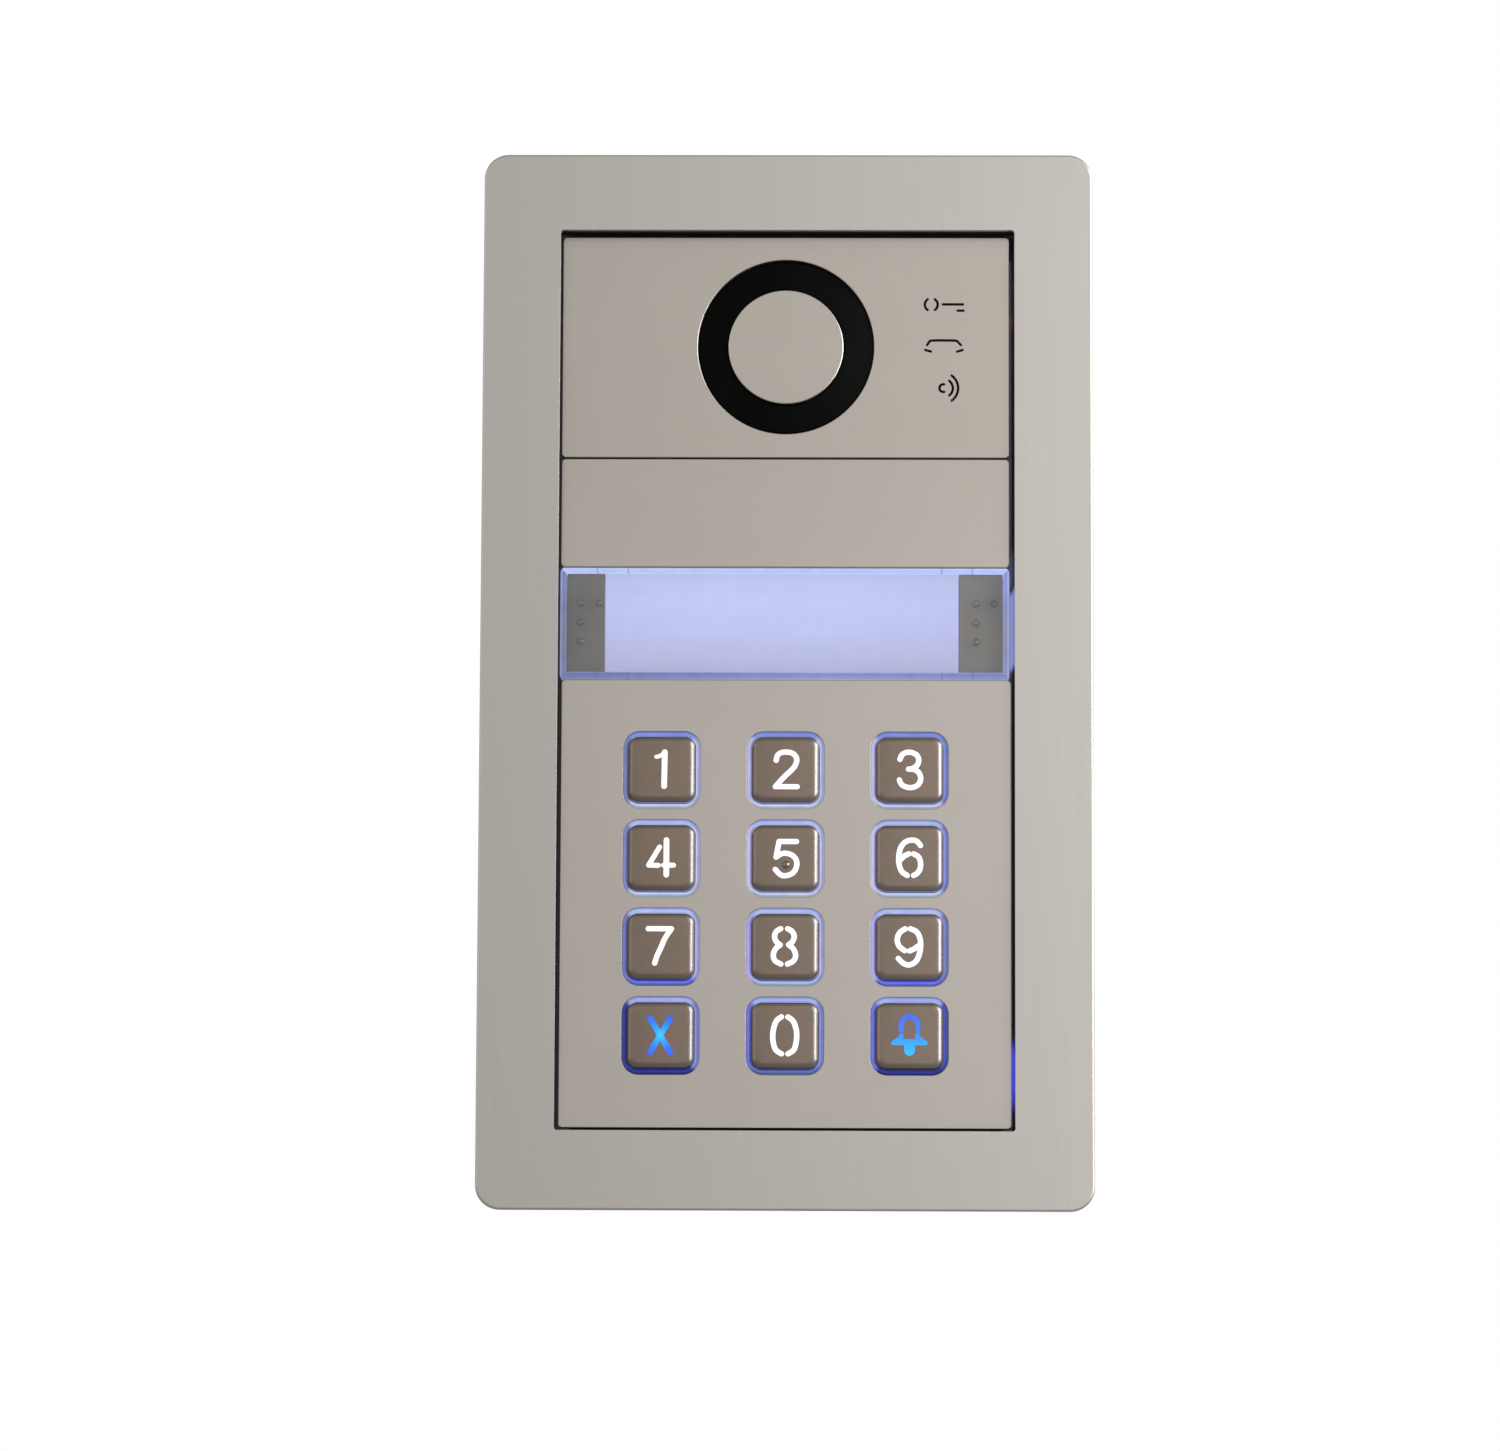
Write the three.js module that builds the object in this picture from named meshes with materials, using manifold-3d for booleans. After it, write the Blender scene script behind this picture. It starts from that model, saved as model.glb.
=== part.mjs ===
// Flush-mounted door intercom panel: a steel face frame around two modules, an audio module with a call button and a keypad module.
// Millimetres, +Z up. The origin is on the wall surface at the panel's centre. The front faces -Y, and the wall box goes in along +Y.
import * as THREE from "three";
import { mergeVertices } from "three/addons/utils/BufferGeometryUtils.js";
import Module from "manifold-3d";

const wasm = await Module();
wasm.setup();

// ---- driving dimensions ----
const FRAME_W = 125, FRAME_H = 216.5, FRAME_R = 5; // face frame outline
const FRAME_FRONT = -4.0, FRAME_T = 1.5, FRAME_EDGE = 0.5; // steel sheet and its rounded edge
const APERTURE_W = 93.2, APERTURE_H = 184.65, APERTURE_R = 0.6, APERTURE_X = -0.1, APERTURE_Z = 0.18;
const STACK_X = -0.43, KEYPAD_X = -0.1; // the modules sit a little to the left in the aperture
const PLATE_W = 91.95, PLATE_T = 2.0, PLATE_R = 0.8, PLATE_EDGE = 0.3;
const AUDIO_Z = [45.8, 91.8], BLANK_Z = [23.1, 45.5], BUTTON_Z = [0.0, 22.9], KEYPAD_Z = [-91.6, -0.15];
const RING_X = -0.35, RING_Z = 68.87, RING_R = 18.12, DISC_R = 11.84; // speaker ring and centre disc
const RING_RECESS = 1.0;
const KEY_PITCH_X = 25.25, KEY_PITCH_Z = 18.05, KEY_TOP_Z = -18.7;
const KEY_SIZE = 13.4, KEY_R = 2.0, KEY_FRONT = -1.6, KEY_EDGE = 0.8, KEY_TRAVEL = 1.0;
const KEY_WALL = 0.8, KEY_REAR = 4.6, KEY_FLANGE = 15.0;
const KEY_HOLE = 15.8, KEY_HOLE_R = 3.4; // holes in the keypad plate
const RIM_OUT = 15.6, RIM_OUT_R = 3.3, RIM_IN = 13.9, RIM_IN_R = 2.25, RIM_FRONT = -0.2; // light rim round each key
const COVER_FRONT = -0.2, COVER_WALL = 1.3, COVER_TOP = 0.9, COVER_BOTTOM = 1.4, COVER_REAR = 5.6;
const HOUSING = 91.0, HOUSING_FRONT = 2.3, HOUSING_REAR = 22.0, HOUSING_WALL = 1.6;
const CHASSIS_W = 96.8, CHASSIS_H = 188.2, CHASSIS_FRONT = 2.6, CHASSIS_REAR = 27.0, CHASSIS_T = 1.5;
const BOX_W = 101.6, BOX_H = 193.0, BOX_FRONT = 0.5, BOX_REAR = 44.0, BOX_WALL = 2.0;
const POST_X = 42.0, POST_Z = 86.0;
const CABLE_Z = 62.0, CABLE_R = 6.0; // cable entry in the rear wall of the box
const AUDIO_MID = 45.85, KEYPAD_MID = -45.85; // module centres

// ---- helpers ----
const V2 = (x, y) => new THREE.Vector2(x, y);

// Corner points of a rounded rectangle, width along X and height along Z.
function rounded(w, h, r, seg = 3, cx = 0, cz = 0) {
  const out = [];
  const corners = [[w / 2 - r, h / 2 - r, 0], [-w / 2 + r, h / 2 - r, 90], [-w / 2 + r, -h / 2 + r, 180], [w / 2 - r, -h / 2 + r, 270]];
  for (const [x, z, a] of corners)
    for (let i = 0; i <= seg; i++) {
      const t = ((a + (90 * i) / seg) * Math.PI) / 180;
      out.push(V2(cx + x + r * Math.cos(t), cz + z + r * Math.sin(t)));
    }
  return out;
}
function circle(r, n, cx = 0, cz = 0) {
  const out = [];
  for (let i = 0; i < n; i++) out.push(V2(cx + r * Math.cos((i * 2 * Math.PI) / n), cz + r * Math.sin((i * 2 * Math.PI) / n)));
  return out;
}
function shapeOf(points, holes = []) {
  const s = new THREE.Shape(points);
  for (const h of holes) s.holes.push(new THREE.Path(h));
  return s;
}
function solid(geometry) {
  const g = geometry.index ? geometry.toNonIndexed() : geometry.clone();
  g.deleteAttribute("normal");
  g.deleteAttribute("uv");
  const m = mergeVertices(g, 1e-4);
  return new wasm.Manifold(new wasm.Mesh({ numProp: 3, vertProperties: m.attributes.position.array, triVerts: new Uint32Array(m.index.array) }));
}
const moved = (g, x, y, z) => g.translate(x, y, z);

// A slab between two depths. bevel rounds the front edges, and the edges of the holes with them.
function slab(points, y0, y1, { holes = [], bevel = 0, seg = 1 } = {}) {
  const depth = y1 - y0 - bevel;
  const opt = bevel
    ? { depth, bevelEnabled: true, bevelThickness: bevel, bevelSize: bevel, bevelOffset: -bevel, bevelSegments: seg, steps: 1 }
    : { depth, bevelEnabled: false, steps: 1 };
  const g = new THREE.ExtrudeGeometry(shapeOf(points, holes), opt);
  g.rotateX(Math.PI / 2);
  g.translate(0, y1, 0);
  let s = solid(g);
  if (bevel) s = s.subtract(box(-400, 400, y1, y1 + 5, -400, 400));
  return s;
}
function box(x0, x1, y0, y1, z0, z1) {
  return solid(moved(new THREE.BoxGeometry(x1 - x0, y1 - y0, z1 - z0), (x0 + x1) / 2, (y0 + y1) / 2, (z0 + z1) / 2));
}
// A body of revolution about an axis along Y through (cx, cz). The profile holds [radius, y] pairs.
function turned(profile, n, cx = 0, cz = 0) {
  const make = (p) => {
    const g = new THREE.LatheGeometry(p.map(([r, y]) => V2(r, y)), n);
    g.translate(cx, 0, cz);
    return solid(g);
  };
  const a = make(profile);
  return a.volume() > 0 ? a : make([...profile].reverse());
}
function cyl(r, y0, y1, n, cx = 0, cz = 0) {
  return turned([[0, y0], [r, y0], [r, y1], [0, y1]], n, cx, cz);
}
function join(list) {
  return list.reduce((a, b) => a.add(b));
}

const root = new THREE.Group();
const materials = {
  steel: { color: 0xb1aca3, roughness: 0.38, metalness: 1.0 },
  plate: { color: 0xb3aaa2, roughness: 0.5, metalness: 0.9 },
  cap: { color: 0x80705f, roughness: 0.35, metalness: 1.0 },
  black: { color: 0x141414, roughness: 0.55, metalness: 0 },
  gloss: { color: 0x0a0a0b, roughness: 0.12, metalness: 0 },
  smoke: { color: 0x1a1512, roughness: 0.25, metalness: 0 },
  clear: { color: 0xdfe4ff, roughness: 0.08, metalness: 0, transparent: true, opacity: 0.35 },
  glow: { color: 0xaebcff, roughness: 0.3, metalness: 0, emissive: 0x5060ff },
  legend: { color: 0xf4f2ff, roughness: 0.4, metalness: 0, emissive: 0xe8e6ff },
  legendBlue: { color: 0x3a8cff, roughness: 0.4, metalness: 0, emissive: 0x2a7cff },
  card: { color: 0xc3c8f4, roughness: 0.6, metalness: 0, emissive: 0x9aa2e8 },
  grey: { color: 0x7a7974, roughness: 0.55, metalness: 0 },
  rubber: { color: 0x1b1b1b, roughness: 0.85, metalness: 0 },
  foam: { color: 0x242424, roughness: 0.95, metalness: 0 },
  silicone: { color: 0xc9c9c4, roughness: 0.7, metalness: 0 },
  box: { color: 0x2c2d2f, roughness: 0.6, metalness: 0 },
  zinc: { color: 0x9da0a3, roughness: 0.4, metalness: 1.0 },
  pcb: { color: 0x1d4a2c, roughness: 0.45, metalness: 0 },
  terminal: { color: 0x2f6b3c, roughness: 0.5, metalness: 0 },
  ribbon: { color: 0x8a8d92, roughness: 0.6, metalness: 0 },
};
const made = {};
function put(name, s, slot, at = [0, 0, 0], parent = root) {
  const mesh = s.getMesh();
  const n = mesh.numProp, v = new Float32Array(mesh.numVert * 3);
  for (let i = 0; i < mesh.numVert; i++) v.set(mesh.vertProperties.subarray(i * n, i * n + 3), i * 3);
  const g = new THREE.BufferGeometry();
  g.setAttribute("position", new THREE.BufferAttribute(v, 3));
  g.setIndex(new THREE.BufferAttribute(new Uint32Array(mesh.triVerts), 1));
  made[slot] ??= new THREE.MeshStandardMaterial({ flatShading: true, ...materials[slot] });
  const m = new THREE.Mesh(g, made[slot]);
  m.name = name;
  m.position.set(...at);
  parent.add(m);
  return m;
}

// ---- face frame, liner, gasket ----
put("face_frame", slab(rounded(FRAME_W, FRAME_H, FRAME_R, 5), FRAME_FRONT, FRAME_FRONT + FRAME_T,
  { holes: [rounded(APERTURE_W, APERTURE_H, APERTURE_R, 1, APERTURE_X, APERTURE_Z)], bevel: FRAME_EDGE, seg: 2 }), "steel");

// The liner holds the steel skin: a flange behind it and a collar that reaches into the wall box, with snap hooks.
{
  const flange = slab(rounded(122.4, 213.9, 4, 3), -2.2, -1.0, { holes: [rounded(APERTURE_W, APERTURE_H, APERTURE_R, 1, APERTURE_X, APERTURE_Z)] });
  const collar = slab(rounded(96.8, 188.2, 2, 2), -1.2, 2.2, { holes: [rounded(APERTURE_W, APERTURE_H, APERTURE_R, 1, APERTURE_X, APERTURE_Z)] });
  put("frame_liner", join([flange, collar]), "black");
}
put("wall_gasket", slab(rounded(120.8, 212.3, 3.4, 3), -0.7, 0, { holes: [rounded(104.4, 195.8, 2, 2)] }), "foam");

// ---- wall box ----
{
  let b = slab(rounded(BOX_W, BOX_H, 4, 3), BOX_FRONT, BOX_REAR);
  b = b.subtract(slab(rounded(BOX_W - 2 * BOX_WALL, BOX_H - 2 * BOX_WALL, 2.5, 3), BOX_FRONT - 1, BOX_REAR - BOX_WALL));
  for (const sx of [-1, 1])
    for (const sz of [-1, 1]) {
      b = b.add(cyl(4.5, CHASSIS_REAR + 0.3, BOX_REAR - 1, 12, sx * POST_X, sz * POST_Z));
      b = b.subtract(cyl(2.0, CHASSIS_REAR - 1, 40, 10, sx * POST_X, sz * POST_Z));
    }
  b = b.subtract(cyl(10.0, 38, 48, 20, 0, CABLE_Z));
  // Anchor ribs that key the box into the wall.
  for (const z of [-60, 0, 60])
    b = b.add(box(-BOX_W / 2 - 1.5, -BOX_W / 2 + 0.5, 8, 36, z - 1.2, z + 1.2)).add(box(BOX_W / 2 - 0.5, BOX_W / 2 + 1.5, 8, 36, z - 1.2, z + 1.2));
  put("flush_box", b, "box");
}
put("cable_grommet", turned([[CABLE_R, 39.6], [11.6, 39.6], [12.6, 40.6], [12.6, 41.7], [9.7, 41.7], [9.7, 43.7], [CABLE_R, 43.7], [CABLE_R, 39.6]], 20, 0, CABLE_Z), "rubber");

// ---- chassis: a shallow tray that holds both modules and is screwed to the box ----
{
  let c = slab(rounded(CHASSIS_W, CHASSIS_H, 2, 2), CHASSIS_FRONT, CHASSIS_REAR);
  c = c.subtract(slab(rounded(CHASSIS_W - 2 * CHASSIS_T, CHASSIS_H - 2 * CHASSIS_T, 1, 1), CHASSIS_FRONT - 1, CHASSIS_REAR - CHASSIS_T));
  for (const z of [AUDIO_MID, KEYPAD_MID]) c = c.subtract(box(-35, 35, 20, 30, z - 32, z + 32));
  for (const sx of [-1, 1]) for (const sz of [-1, 1]) c = c.subtract(cyl(2.3, 24, 30, 10, sx * POST_X, sz * POST_Z));
  put("chassis", c, "zinc");
}
{
  const screw = turned([[0, 23.9], [0.9, 23.9], [0.9, 23.2], [2.6, 23.2], [3.4, 23.9], [3.4, 25.2], [1.7, 25.2], [1.7, 37.4], [0.8, 38.4], [0, 38.4]], 10);
  let i = 1;
  for (const sz of [1, -1]) for (const sx of [-1, 1]) put("chassis_screw_" + i++, screw, "zinc", [sx * POST_X, 0, sz * POST_Z]);
}

// ---- audio module ----
const audio = new THREE.Group();
audio.position.set(STACK_X, 0, 0);
root.add(audio);
const RX = RING_X - STACK_X;

function housing(mid, holes) {
  let h = slab(rounded(HOUSING, HOUSING, 1.5, 2, 0, mid), HOUSING_FRONT, HOUSING_REAR);
  h = h.subtract(slab(rounded(HOUSING - 2 * HOUSING_WALL, HOUSING - 2 * HOUSING_WALL, 0.8, 1, 0, mid), HOUSING_FRONT - 1, HOUSING_REAR - HOUSING_WALL));
  for (const [x0, x1, z0, z1] of holes) h = h.subtract(box(x0, x1, HOUSING_REAR - 4, HOUSING_REAR + 2, z0, z1));
  return h;
}
// The audio housing's walls are notched where the call button travels.
put("audio_housing", housing(AUDIO_MID, [[-21, 21, 29.5, 42.5], [-11, 11, 13.0, 20.0]]).subtract(box(-50, 50, 0, 7.1, -5, 23.05)), "black", [0, 0, 0], audio);

// A thin rounded slot along a polyline, for the pictograms.
function stroke(points, w, y0, y1, { cap = 2, closed = false } = {}) {
  const left = [], right = [], n = points.length;
  for (let i = 0; i < n; i++) {
    const p = points[i], a = points[Math.max(i - 1, 0)], b = points[Math.min(i + 1, n - 1)];
    const d1 = i > 0 ? V2(p[0] - a[0], p[1] - a[1]).normalize() : null;
    const d2 = i < n - 1 ? V2(b[0] - p[0], b[1] - p[1]).normalize() : null;
    const d = d1 && d2 ? d1.clone().add(d2).normalize() : d1 || d2;
    const nx = -d.y, nz = d.x;
    const k = d1 && d2 ? Math.min(1 / Math.max(0.35, d.dot(d2)), 2) : 1;
    left.push(V2(p[0] + (nx * w * k) / 2, p[1] + (nz * w * k) / 2));
    right.push(V2(p[0] - (nx * w * k) / 2, p[1] - (nz * w * k) / 2));
  }
  const ends = (p, q, sign) => {
    // points of a round end from the left side to the right side
    const d = V2(p[0] - q[0], p[1] - q[1]).normalize(), out = [];
    for (let i = 1; i < cap; i++) {
      const t = (Math.PI * i) / cap;
      const nx = -d.y * sign, nz = d.x * sign;
      out.push(V2(p[0] + (w / 2) * (nx * Math.cos(t) + d.x * Math.sin(t)), p[1] + (w / 2) * (nz * Math.cos(t) + d.y * Math.sin(t))));
    }
    return out;
  };
  const pts = [...left, ...ends(points[n - 1], points[n - 2], 1), ...right.reverse(), ...ends(points[0], points[1], 1)];
  return slab(pts, y0, y1);
}
const arc = (cx, cz, rx, rz, a0, a1, n) => {
  const out = [];
  for (let i = 0; i <= n; i++) {
    const t = ((a0 + ((a1 - a0) * i) / n) * Math.PI) / 180;
    out.push([cx + rx * Math.cos(t), cz + rz * Math.sin(t)]);
  }
  return out;
};
{
  const [z0, z1] = AUDIO_Z;
  let p = slab(rounded(PLATE_W, z1 - z0, PLATE_R, 2, 0, (z0 + z1) / 2), 0, PLATE_T, { holes: [circle(RING_R, 36, RX, RING_Z)], bevel: PLATE_EDGE, seg: 1 });
  // Pictograms cut through the plate: a key, a handset and sound waves.
  const px = -STACK_X;
  const shift = (line) => line.map(([x, z]) => [x + px, z]);
  const icons = [
    arc(29.52, 77.74, 1.33, 1.33, 124, 236, 4), arc(29.52, 77.74, 1.33, 1.33, -56, 56, 4), [[31.9, 77.79], [36.05, 77.79]], [[34.95, 76.49], [36.15, 76.49]],
    [[28.68, 69.3], [29.1, 69.95], [29.75, 70.24], [34.1, 70.24], [34.95, 70.0], [35.6, 69.3]], [[28.3, 68.27], [29.45, 67.95]], [[34.82, 67.93], [35.95, 68.27]],
    arc(32.0, 60.33, 0.8, 0.8, 78, 282, 5), arc(32.07, 60.33, 1.9, 1.9, -53, 53, 4), arc(31.83, 60.33, 3.22, 3.22, -54, 54, 4),
  ].map(shift);
  for (const s of icons) p = p.subtract(stroke(s, 0.52, -1, PLATE_T + 1));
  put("audio_plate", p, "plate", [0, 0, 0], audio);
}
// Glossy ring with a recessed front, a sound floor behind the centre disc and a flange behind the plate.
{
  const y = RING_RECESS;
  let r = turned([[0, 3.3], [0, 4.2], [20.4, 4.2], [20.4, 2.4], [17.85, 2.4], [17.85, y + 0.15], [17.65, y], [12.3, y], [12.1, y + 0.15], [12.1, 3.3], [0, 3.3]], 36, RX, RING_Z);
  for (const a of [45, 135, 225, 315]) {
    const t = (a * Math.PI) / 180;
    r = r.subtract(cyl(1.6, 2.8, 5, 8, RX + 8.5 * Math.cos(t), RING_Z + 8.5 * Math.sin(t)));
  }
  r = r.subtract(cyl(2.2, 2.8, 5, 10, RX, RING_Z));
  put("ring_bezel", r, "gloss", [0, 0, 0], audio);
}
put("centre_disc", turned([[0, 0], [DISC_R - 0.2, 0], [DISC_R, 0.2], [DISC_R, 2.0], [1.9, 2.0], [1.9, 4.6], [0, 4.6]], 36, RX, RING_Z), "plate", [0, 0, 0], audio);
put("icon_window", slab(rounded(12.4, 24, 1, 1, 32.6, 68.9), 2.3, 3.3), "smoke", [0, 0, 0], audio);
put("loudspeaker", turned([[0, 7.6], [4.0, 7.2], [5.0, 8.2], [14.5, 5.5], [15.6, 4.9], [18.0, 4.9], [18.0, 6.2], [16.2, 6.6], [9.5, 9.4], [9.5, 11.4], [0, 11.4], [0, 7.6]], 24, RX, RING_Z), "black", [0, 0, 0], audio);
put("microphone", cyl(3.0, 4.4, 7.6, 12, -25, 45.8), "zinc", [0, 0, 0], audio);
put("microphone_boot", turned([[2.0, 2.6], [4.8, 2.6], [4.8, 8.2], [3.3, 8.2], [3.3, 4.1], [2.0, 4.1], [2.0, 2.6]], 12, -25, 45.8), "rubber", [0, 0, 0], audio);
// Circuit board with its larger components.
{
  const b = box(-43, 43, 12, 13.6, 3.4, 88.3);
  const chips = [box(-34, -24, 10.6, 12.5, 62, 72), box(24, 36, 10.8, 12.5, 78, 86), box(-40, -32, 9.5, 12.5, 80, 86),
    box(-38, -28, 13.2, 15.4, 60, 72), box(26, 34, 13.2, 18.0, 60, 68), cyl(4, 13.2, 19.0, 10, 32, 50)];
  const leds = [-24, -8, 8, 24].map((x) => box(x - 1.4, x + 1.4, 11.0, 12.5, 10.1, 12.9));
  const iconLeds = [60.2, 67.6, 77].map((z) => box(33.2, 35.2, 10.8, 12.5, z - 1, z + 1));
  put("audio_pcb", join([b, ...chips, ...leds, ...iconLeds]), "pcb", [0, 0, 0], audio);
}
// Screw terminal block that passes through the housing and the chassis window.
{
  let t = box(-20, 20, 14.0, 32.0, 30.2, 41.8);
  for (let i = 0; i < 6; i++) {
    const x = -16.5 + i * 6.6;
    t = t.subtract(box(x - 2, x + 2, 25.5, 29.5, 28, 36)).subtract(box(x - 1.8, x + 1.8, 30.2, 34, 36.6, 40.2));
  }
  put("terminal_block", t, "terminal", [0, 0, 0], audio);
}
{
  const [z0, z1] = BLANK_Z, mid = (z0 + z1) / 2;
  const p = slab(rounded(PLATE_W, z1 - z0, PLATE_R, 2, 0, mid), 0, PLATE_T, { bevel: PLATE_EDGE, seg: 1 });
  const clips = [-36, 36].flatMap((x) => [box(x - 4, x + 4, PLATE_T - 0.5, 7.5, mid - 8.2, mid - 7), box(x - 4, x + 4, PLATE_T - 0.5, 7.5, mid + 7, mid + 8.2)]);
  put("blank_plate", join([p, ...clips]), "plate", [0, 0, 0], audio);
}

// ---- call button: clear cover, name card, end blocks and diffuser move together ----
{
  const [z0, z1] = BUTTON_Z, mid = (z0 + z1) / 2, h = z1 - z0;
  let c = slab(rounded(PLATE_W, h, 0.9, 2, 0, mid), COVER_FRONT, COVER_REAR, { bevel: 0.45, seg: 1 });
  c = c.subtract(box(-PLATE_W / 2 + COVER_WALL, PLATE_W / 2 - COVER_WALL, 1.4, COVER_REAR + 1, z0 + COVER_BOTTOM, z1 - COVER_TOP));
  const dots = [];
  for (const [x, dz] of [[-41.8, 4.15], [-38.0, 4.15], [-41.8, 0.2], [-41.8, -3.75], [39.1, 4.15], [42.8, 4.15], [39.1, 0.2], [39.1, -3.75]])
    dots.push(turned([[0, COVER_FRONT + 0.3], [0.75, COVER_FRONT + 0.3], [0.62, COVER_FRONT - 0.25], [0.3, COVER_FRONT - 0.42], [0, COVER_FRONT - 0.42]], 6, x, mid + dz));
  put("call_button_cover", join([c, ...dots]), "clear", [0, 0, 0], audio);
  const lo = z0 + COVER_BOTTOM + 0.1, hi = z1 - COVER_TOP - 0.1;
  put("end_block_left", box(-44.6, -36.9, 1.7, 5.0, lo, hi), "grey", [0, 0, 0], audio);
  put("end_block_right", box(35.7, 44.6, 1.7, 5.0, lo, hi), "grey", [0, 0, 0], audio);
  put("name_card", box(-36.8, 35.6, 1.7, 2.1, lo, hi), "card", [0, 0, 0], audio);
  put("call_button_diffuser", join([box(-36.8, 35.6, 2.4, 5.0, lo, hi), box(-32, -28, 4.5, 8.4, mid - 2, mid + 2), box(28, 32, 4.5, 8.4, mid - 2, mid + 2)]), "glow", [0, 0, 0], audio);
  for (const [side, x] of [["left", -30], ["right", 30]])
    put("call_switch_" + side, join([box(x - 3, x + 3, 10.4, 11.7, mid - 3, mid + 3), cyl(1.7, 9.7, 10.8, 8, x, mid)]), "black", [0, 0, 0], audio);
}

// ---- keypad module ----
const keypad = new THREE.Group();
keypad.position.set(KEYPAD_X, 0, 0);
root.add(keypad);
const places = [];
for (let r = 0; r < 4; r++) for (let c = 0; c < 3; c++) places.push([(c - 1) * KEY_PITCH_X, KEY_TOP_Z - r * KEY_PITCH_Z]);

put("keypad_housing", housing(KEYPAD_MID, [[-11, 11, -20.0, -13.0]]), "black", [0, 0, 0], keypad);
{
  const [z0, z1] = KEYPAD_Z;
  put("keypad_plate", slab(rounded(PLATE_W, z1 - z0, PLATE_R, 2, 0, (z0 + z1) / 2), 0, PLATE_T,
    { holes: places.map(([x, z]) => rounded(KEY_HOLE, KEY_HOLE, KEY_HOLE_R, 2, x, z)), bevel: PLATE_EDGE, seg: 1 }), "plate", [0, 0, 0], keypad);
}
// Light guide: one clear sheet with a raised rim in each hole of the plate.
{
  const sheet = slab(rounded(84, 78, 2, 1, 0, -46), 2.3, 3.5, { holes: places.map(([x, z]) => rounded(RIM_IN, RIM_IN, RIM_IN_R, 2, x, z)) });
  const rims = places.map(([x, z]) => slab(rounded(RIM_OUT, RIM_OUT, RIM_OUT_R, 2, x, z), RIM_FRONT, 2.6, { holes: [rounded(RIM_IN, RIM_IN, RIM_IN_R, 2, x, z)] }));
  put("keypad_light_guide", join([sheet, ...rims]), "glow", [0, 0, 0], keypad);
}
// Key legends as strokes: each is a width and a centreline, relative to the key's centre.
const LEGENDS = {
  key_1: [[1.16, [[0.6, 3.5], [0.5, -3.45]]], [0.8, [[-1.2, 2.55], [-0.3, 2.8], [0.5, 3.5]]]],
  key_2: [[1.08, [...arc(0.15, 1.9, 2.1, 1.65, 178, -20, 5), [1.4, 0.2], [-2.1, -3.5], [2.35, -3.5]]]],
  key_3: [[1.08, [...arc(-0.1, 1.95, 1.95, 1.65, 170, -60, 5), [-0.3, 0.15], [0.3, 0.15], ...arc(0.0, -1.75, 2.15, 1.9, 60, -172, 5)]]],
  key_4: [[1.02, [[-0.35, 2.1], [-2.45, -1.55], [-0.6, -1.55]]], [1.16, [[1.05, 3.55], [1.05, -3.5]]], [1.02, [[0.5, -1.55], [2.5, -1.55]]]],
  key_5: [[1.08, [[2.2, 3.35], [-1.3, 3.35], [-1.85, 0.1], [-0.9, 0.75], ...arc(0.1, -1.35, 2.2, 2.25, 80, -160, 5)]]],
  key_6: [[1.08, [...arc(0.2, 0.9, 2.35, 2.85, 40, 180, 4), [-2.15, -1.2], [-1.6, -2.9], [-0.6, -3.5]]], [1.1, [[-0.2, 0.85], [-1.8, -0.3]]], [1.08, [[0.9, 0.8], ...arc(0.2, -1.35, 2.1, 1.9, 35, -50, 2), [0.8, -3.4]]]],
  key_7: [[1.08, [[-2.5, 3.55], [2.1, 3.55], [0.2, 0.4], [-0.7, -1.6], [-1.1, -3.45]]]],
  key_8: [[1.08, [[-0.85, 3.55], [-1.95, 2.7], [-1.9, 1.5], [-0.85, 0.3], [-2.2, -1.0], [-2.2, -2.4], [-0.85, -3.5]]], [1.08, [[0.6, 3.55], [1.7, 2.7], [1.65, 1.5], [0.6, 0.3], [1.95, -1.0], [1.95, -2.4], [0.6, -3.5]]]],
  key_9: [[1.08, [[-0.85, 3.55], [-2.2, 2.6], [-2.3, 0.9], [-0.9, -0.6]]], [1.08, [[0.4, 3.5], [1.8, 2.4], [2.2, 0.2], [1.7, -2.2], [0, -3.5], [-1.9, -2.4]]], [1.1, [[0.4, -0.55], [1.8, 0.4]]]],
  key_cross: [[1.2, [[-2.2, 3.75], [2.2, -3.75]]], [1.2, [[2.2, 3.75], [-2.2, -3.75]]]],
  key_0: [[1.08, [[-0.7, 3.65], [-1.95, 2.6], [-2.3, 0.6], [-2.3, -0.6], [-1.95, -2.5], [-0.7, -3.5]]], [1.08, [[0.75, 3.65], [2.0, 2.6], [2.35, 0.6], [2.35, -0.6], [2.0, -2.5], [0.75, -3.5]]]],
  key_bell: [[0.95, [[-1.7, 1.65], ...arc(0, 2.3, 1.7, 1.65, 170, 10, 4), [1.7, 1.65]]], [0.9, [[-1.6, 0.3], [-1.75, -0.35], [-3.3, -1.45], [3.3, -1.45], [1.75, -0.35], [1.6, 0.3]]], [2.2, [[0, -1.9], [0, -2.9]]]],
};
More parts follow.
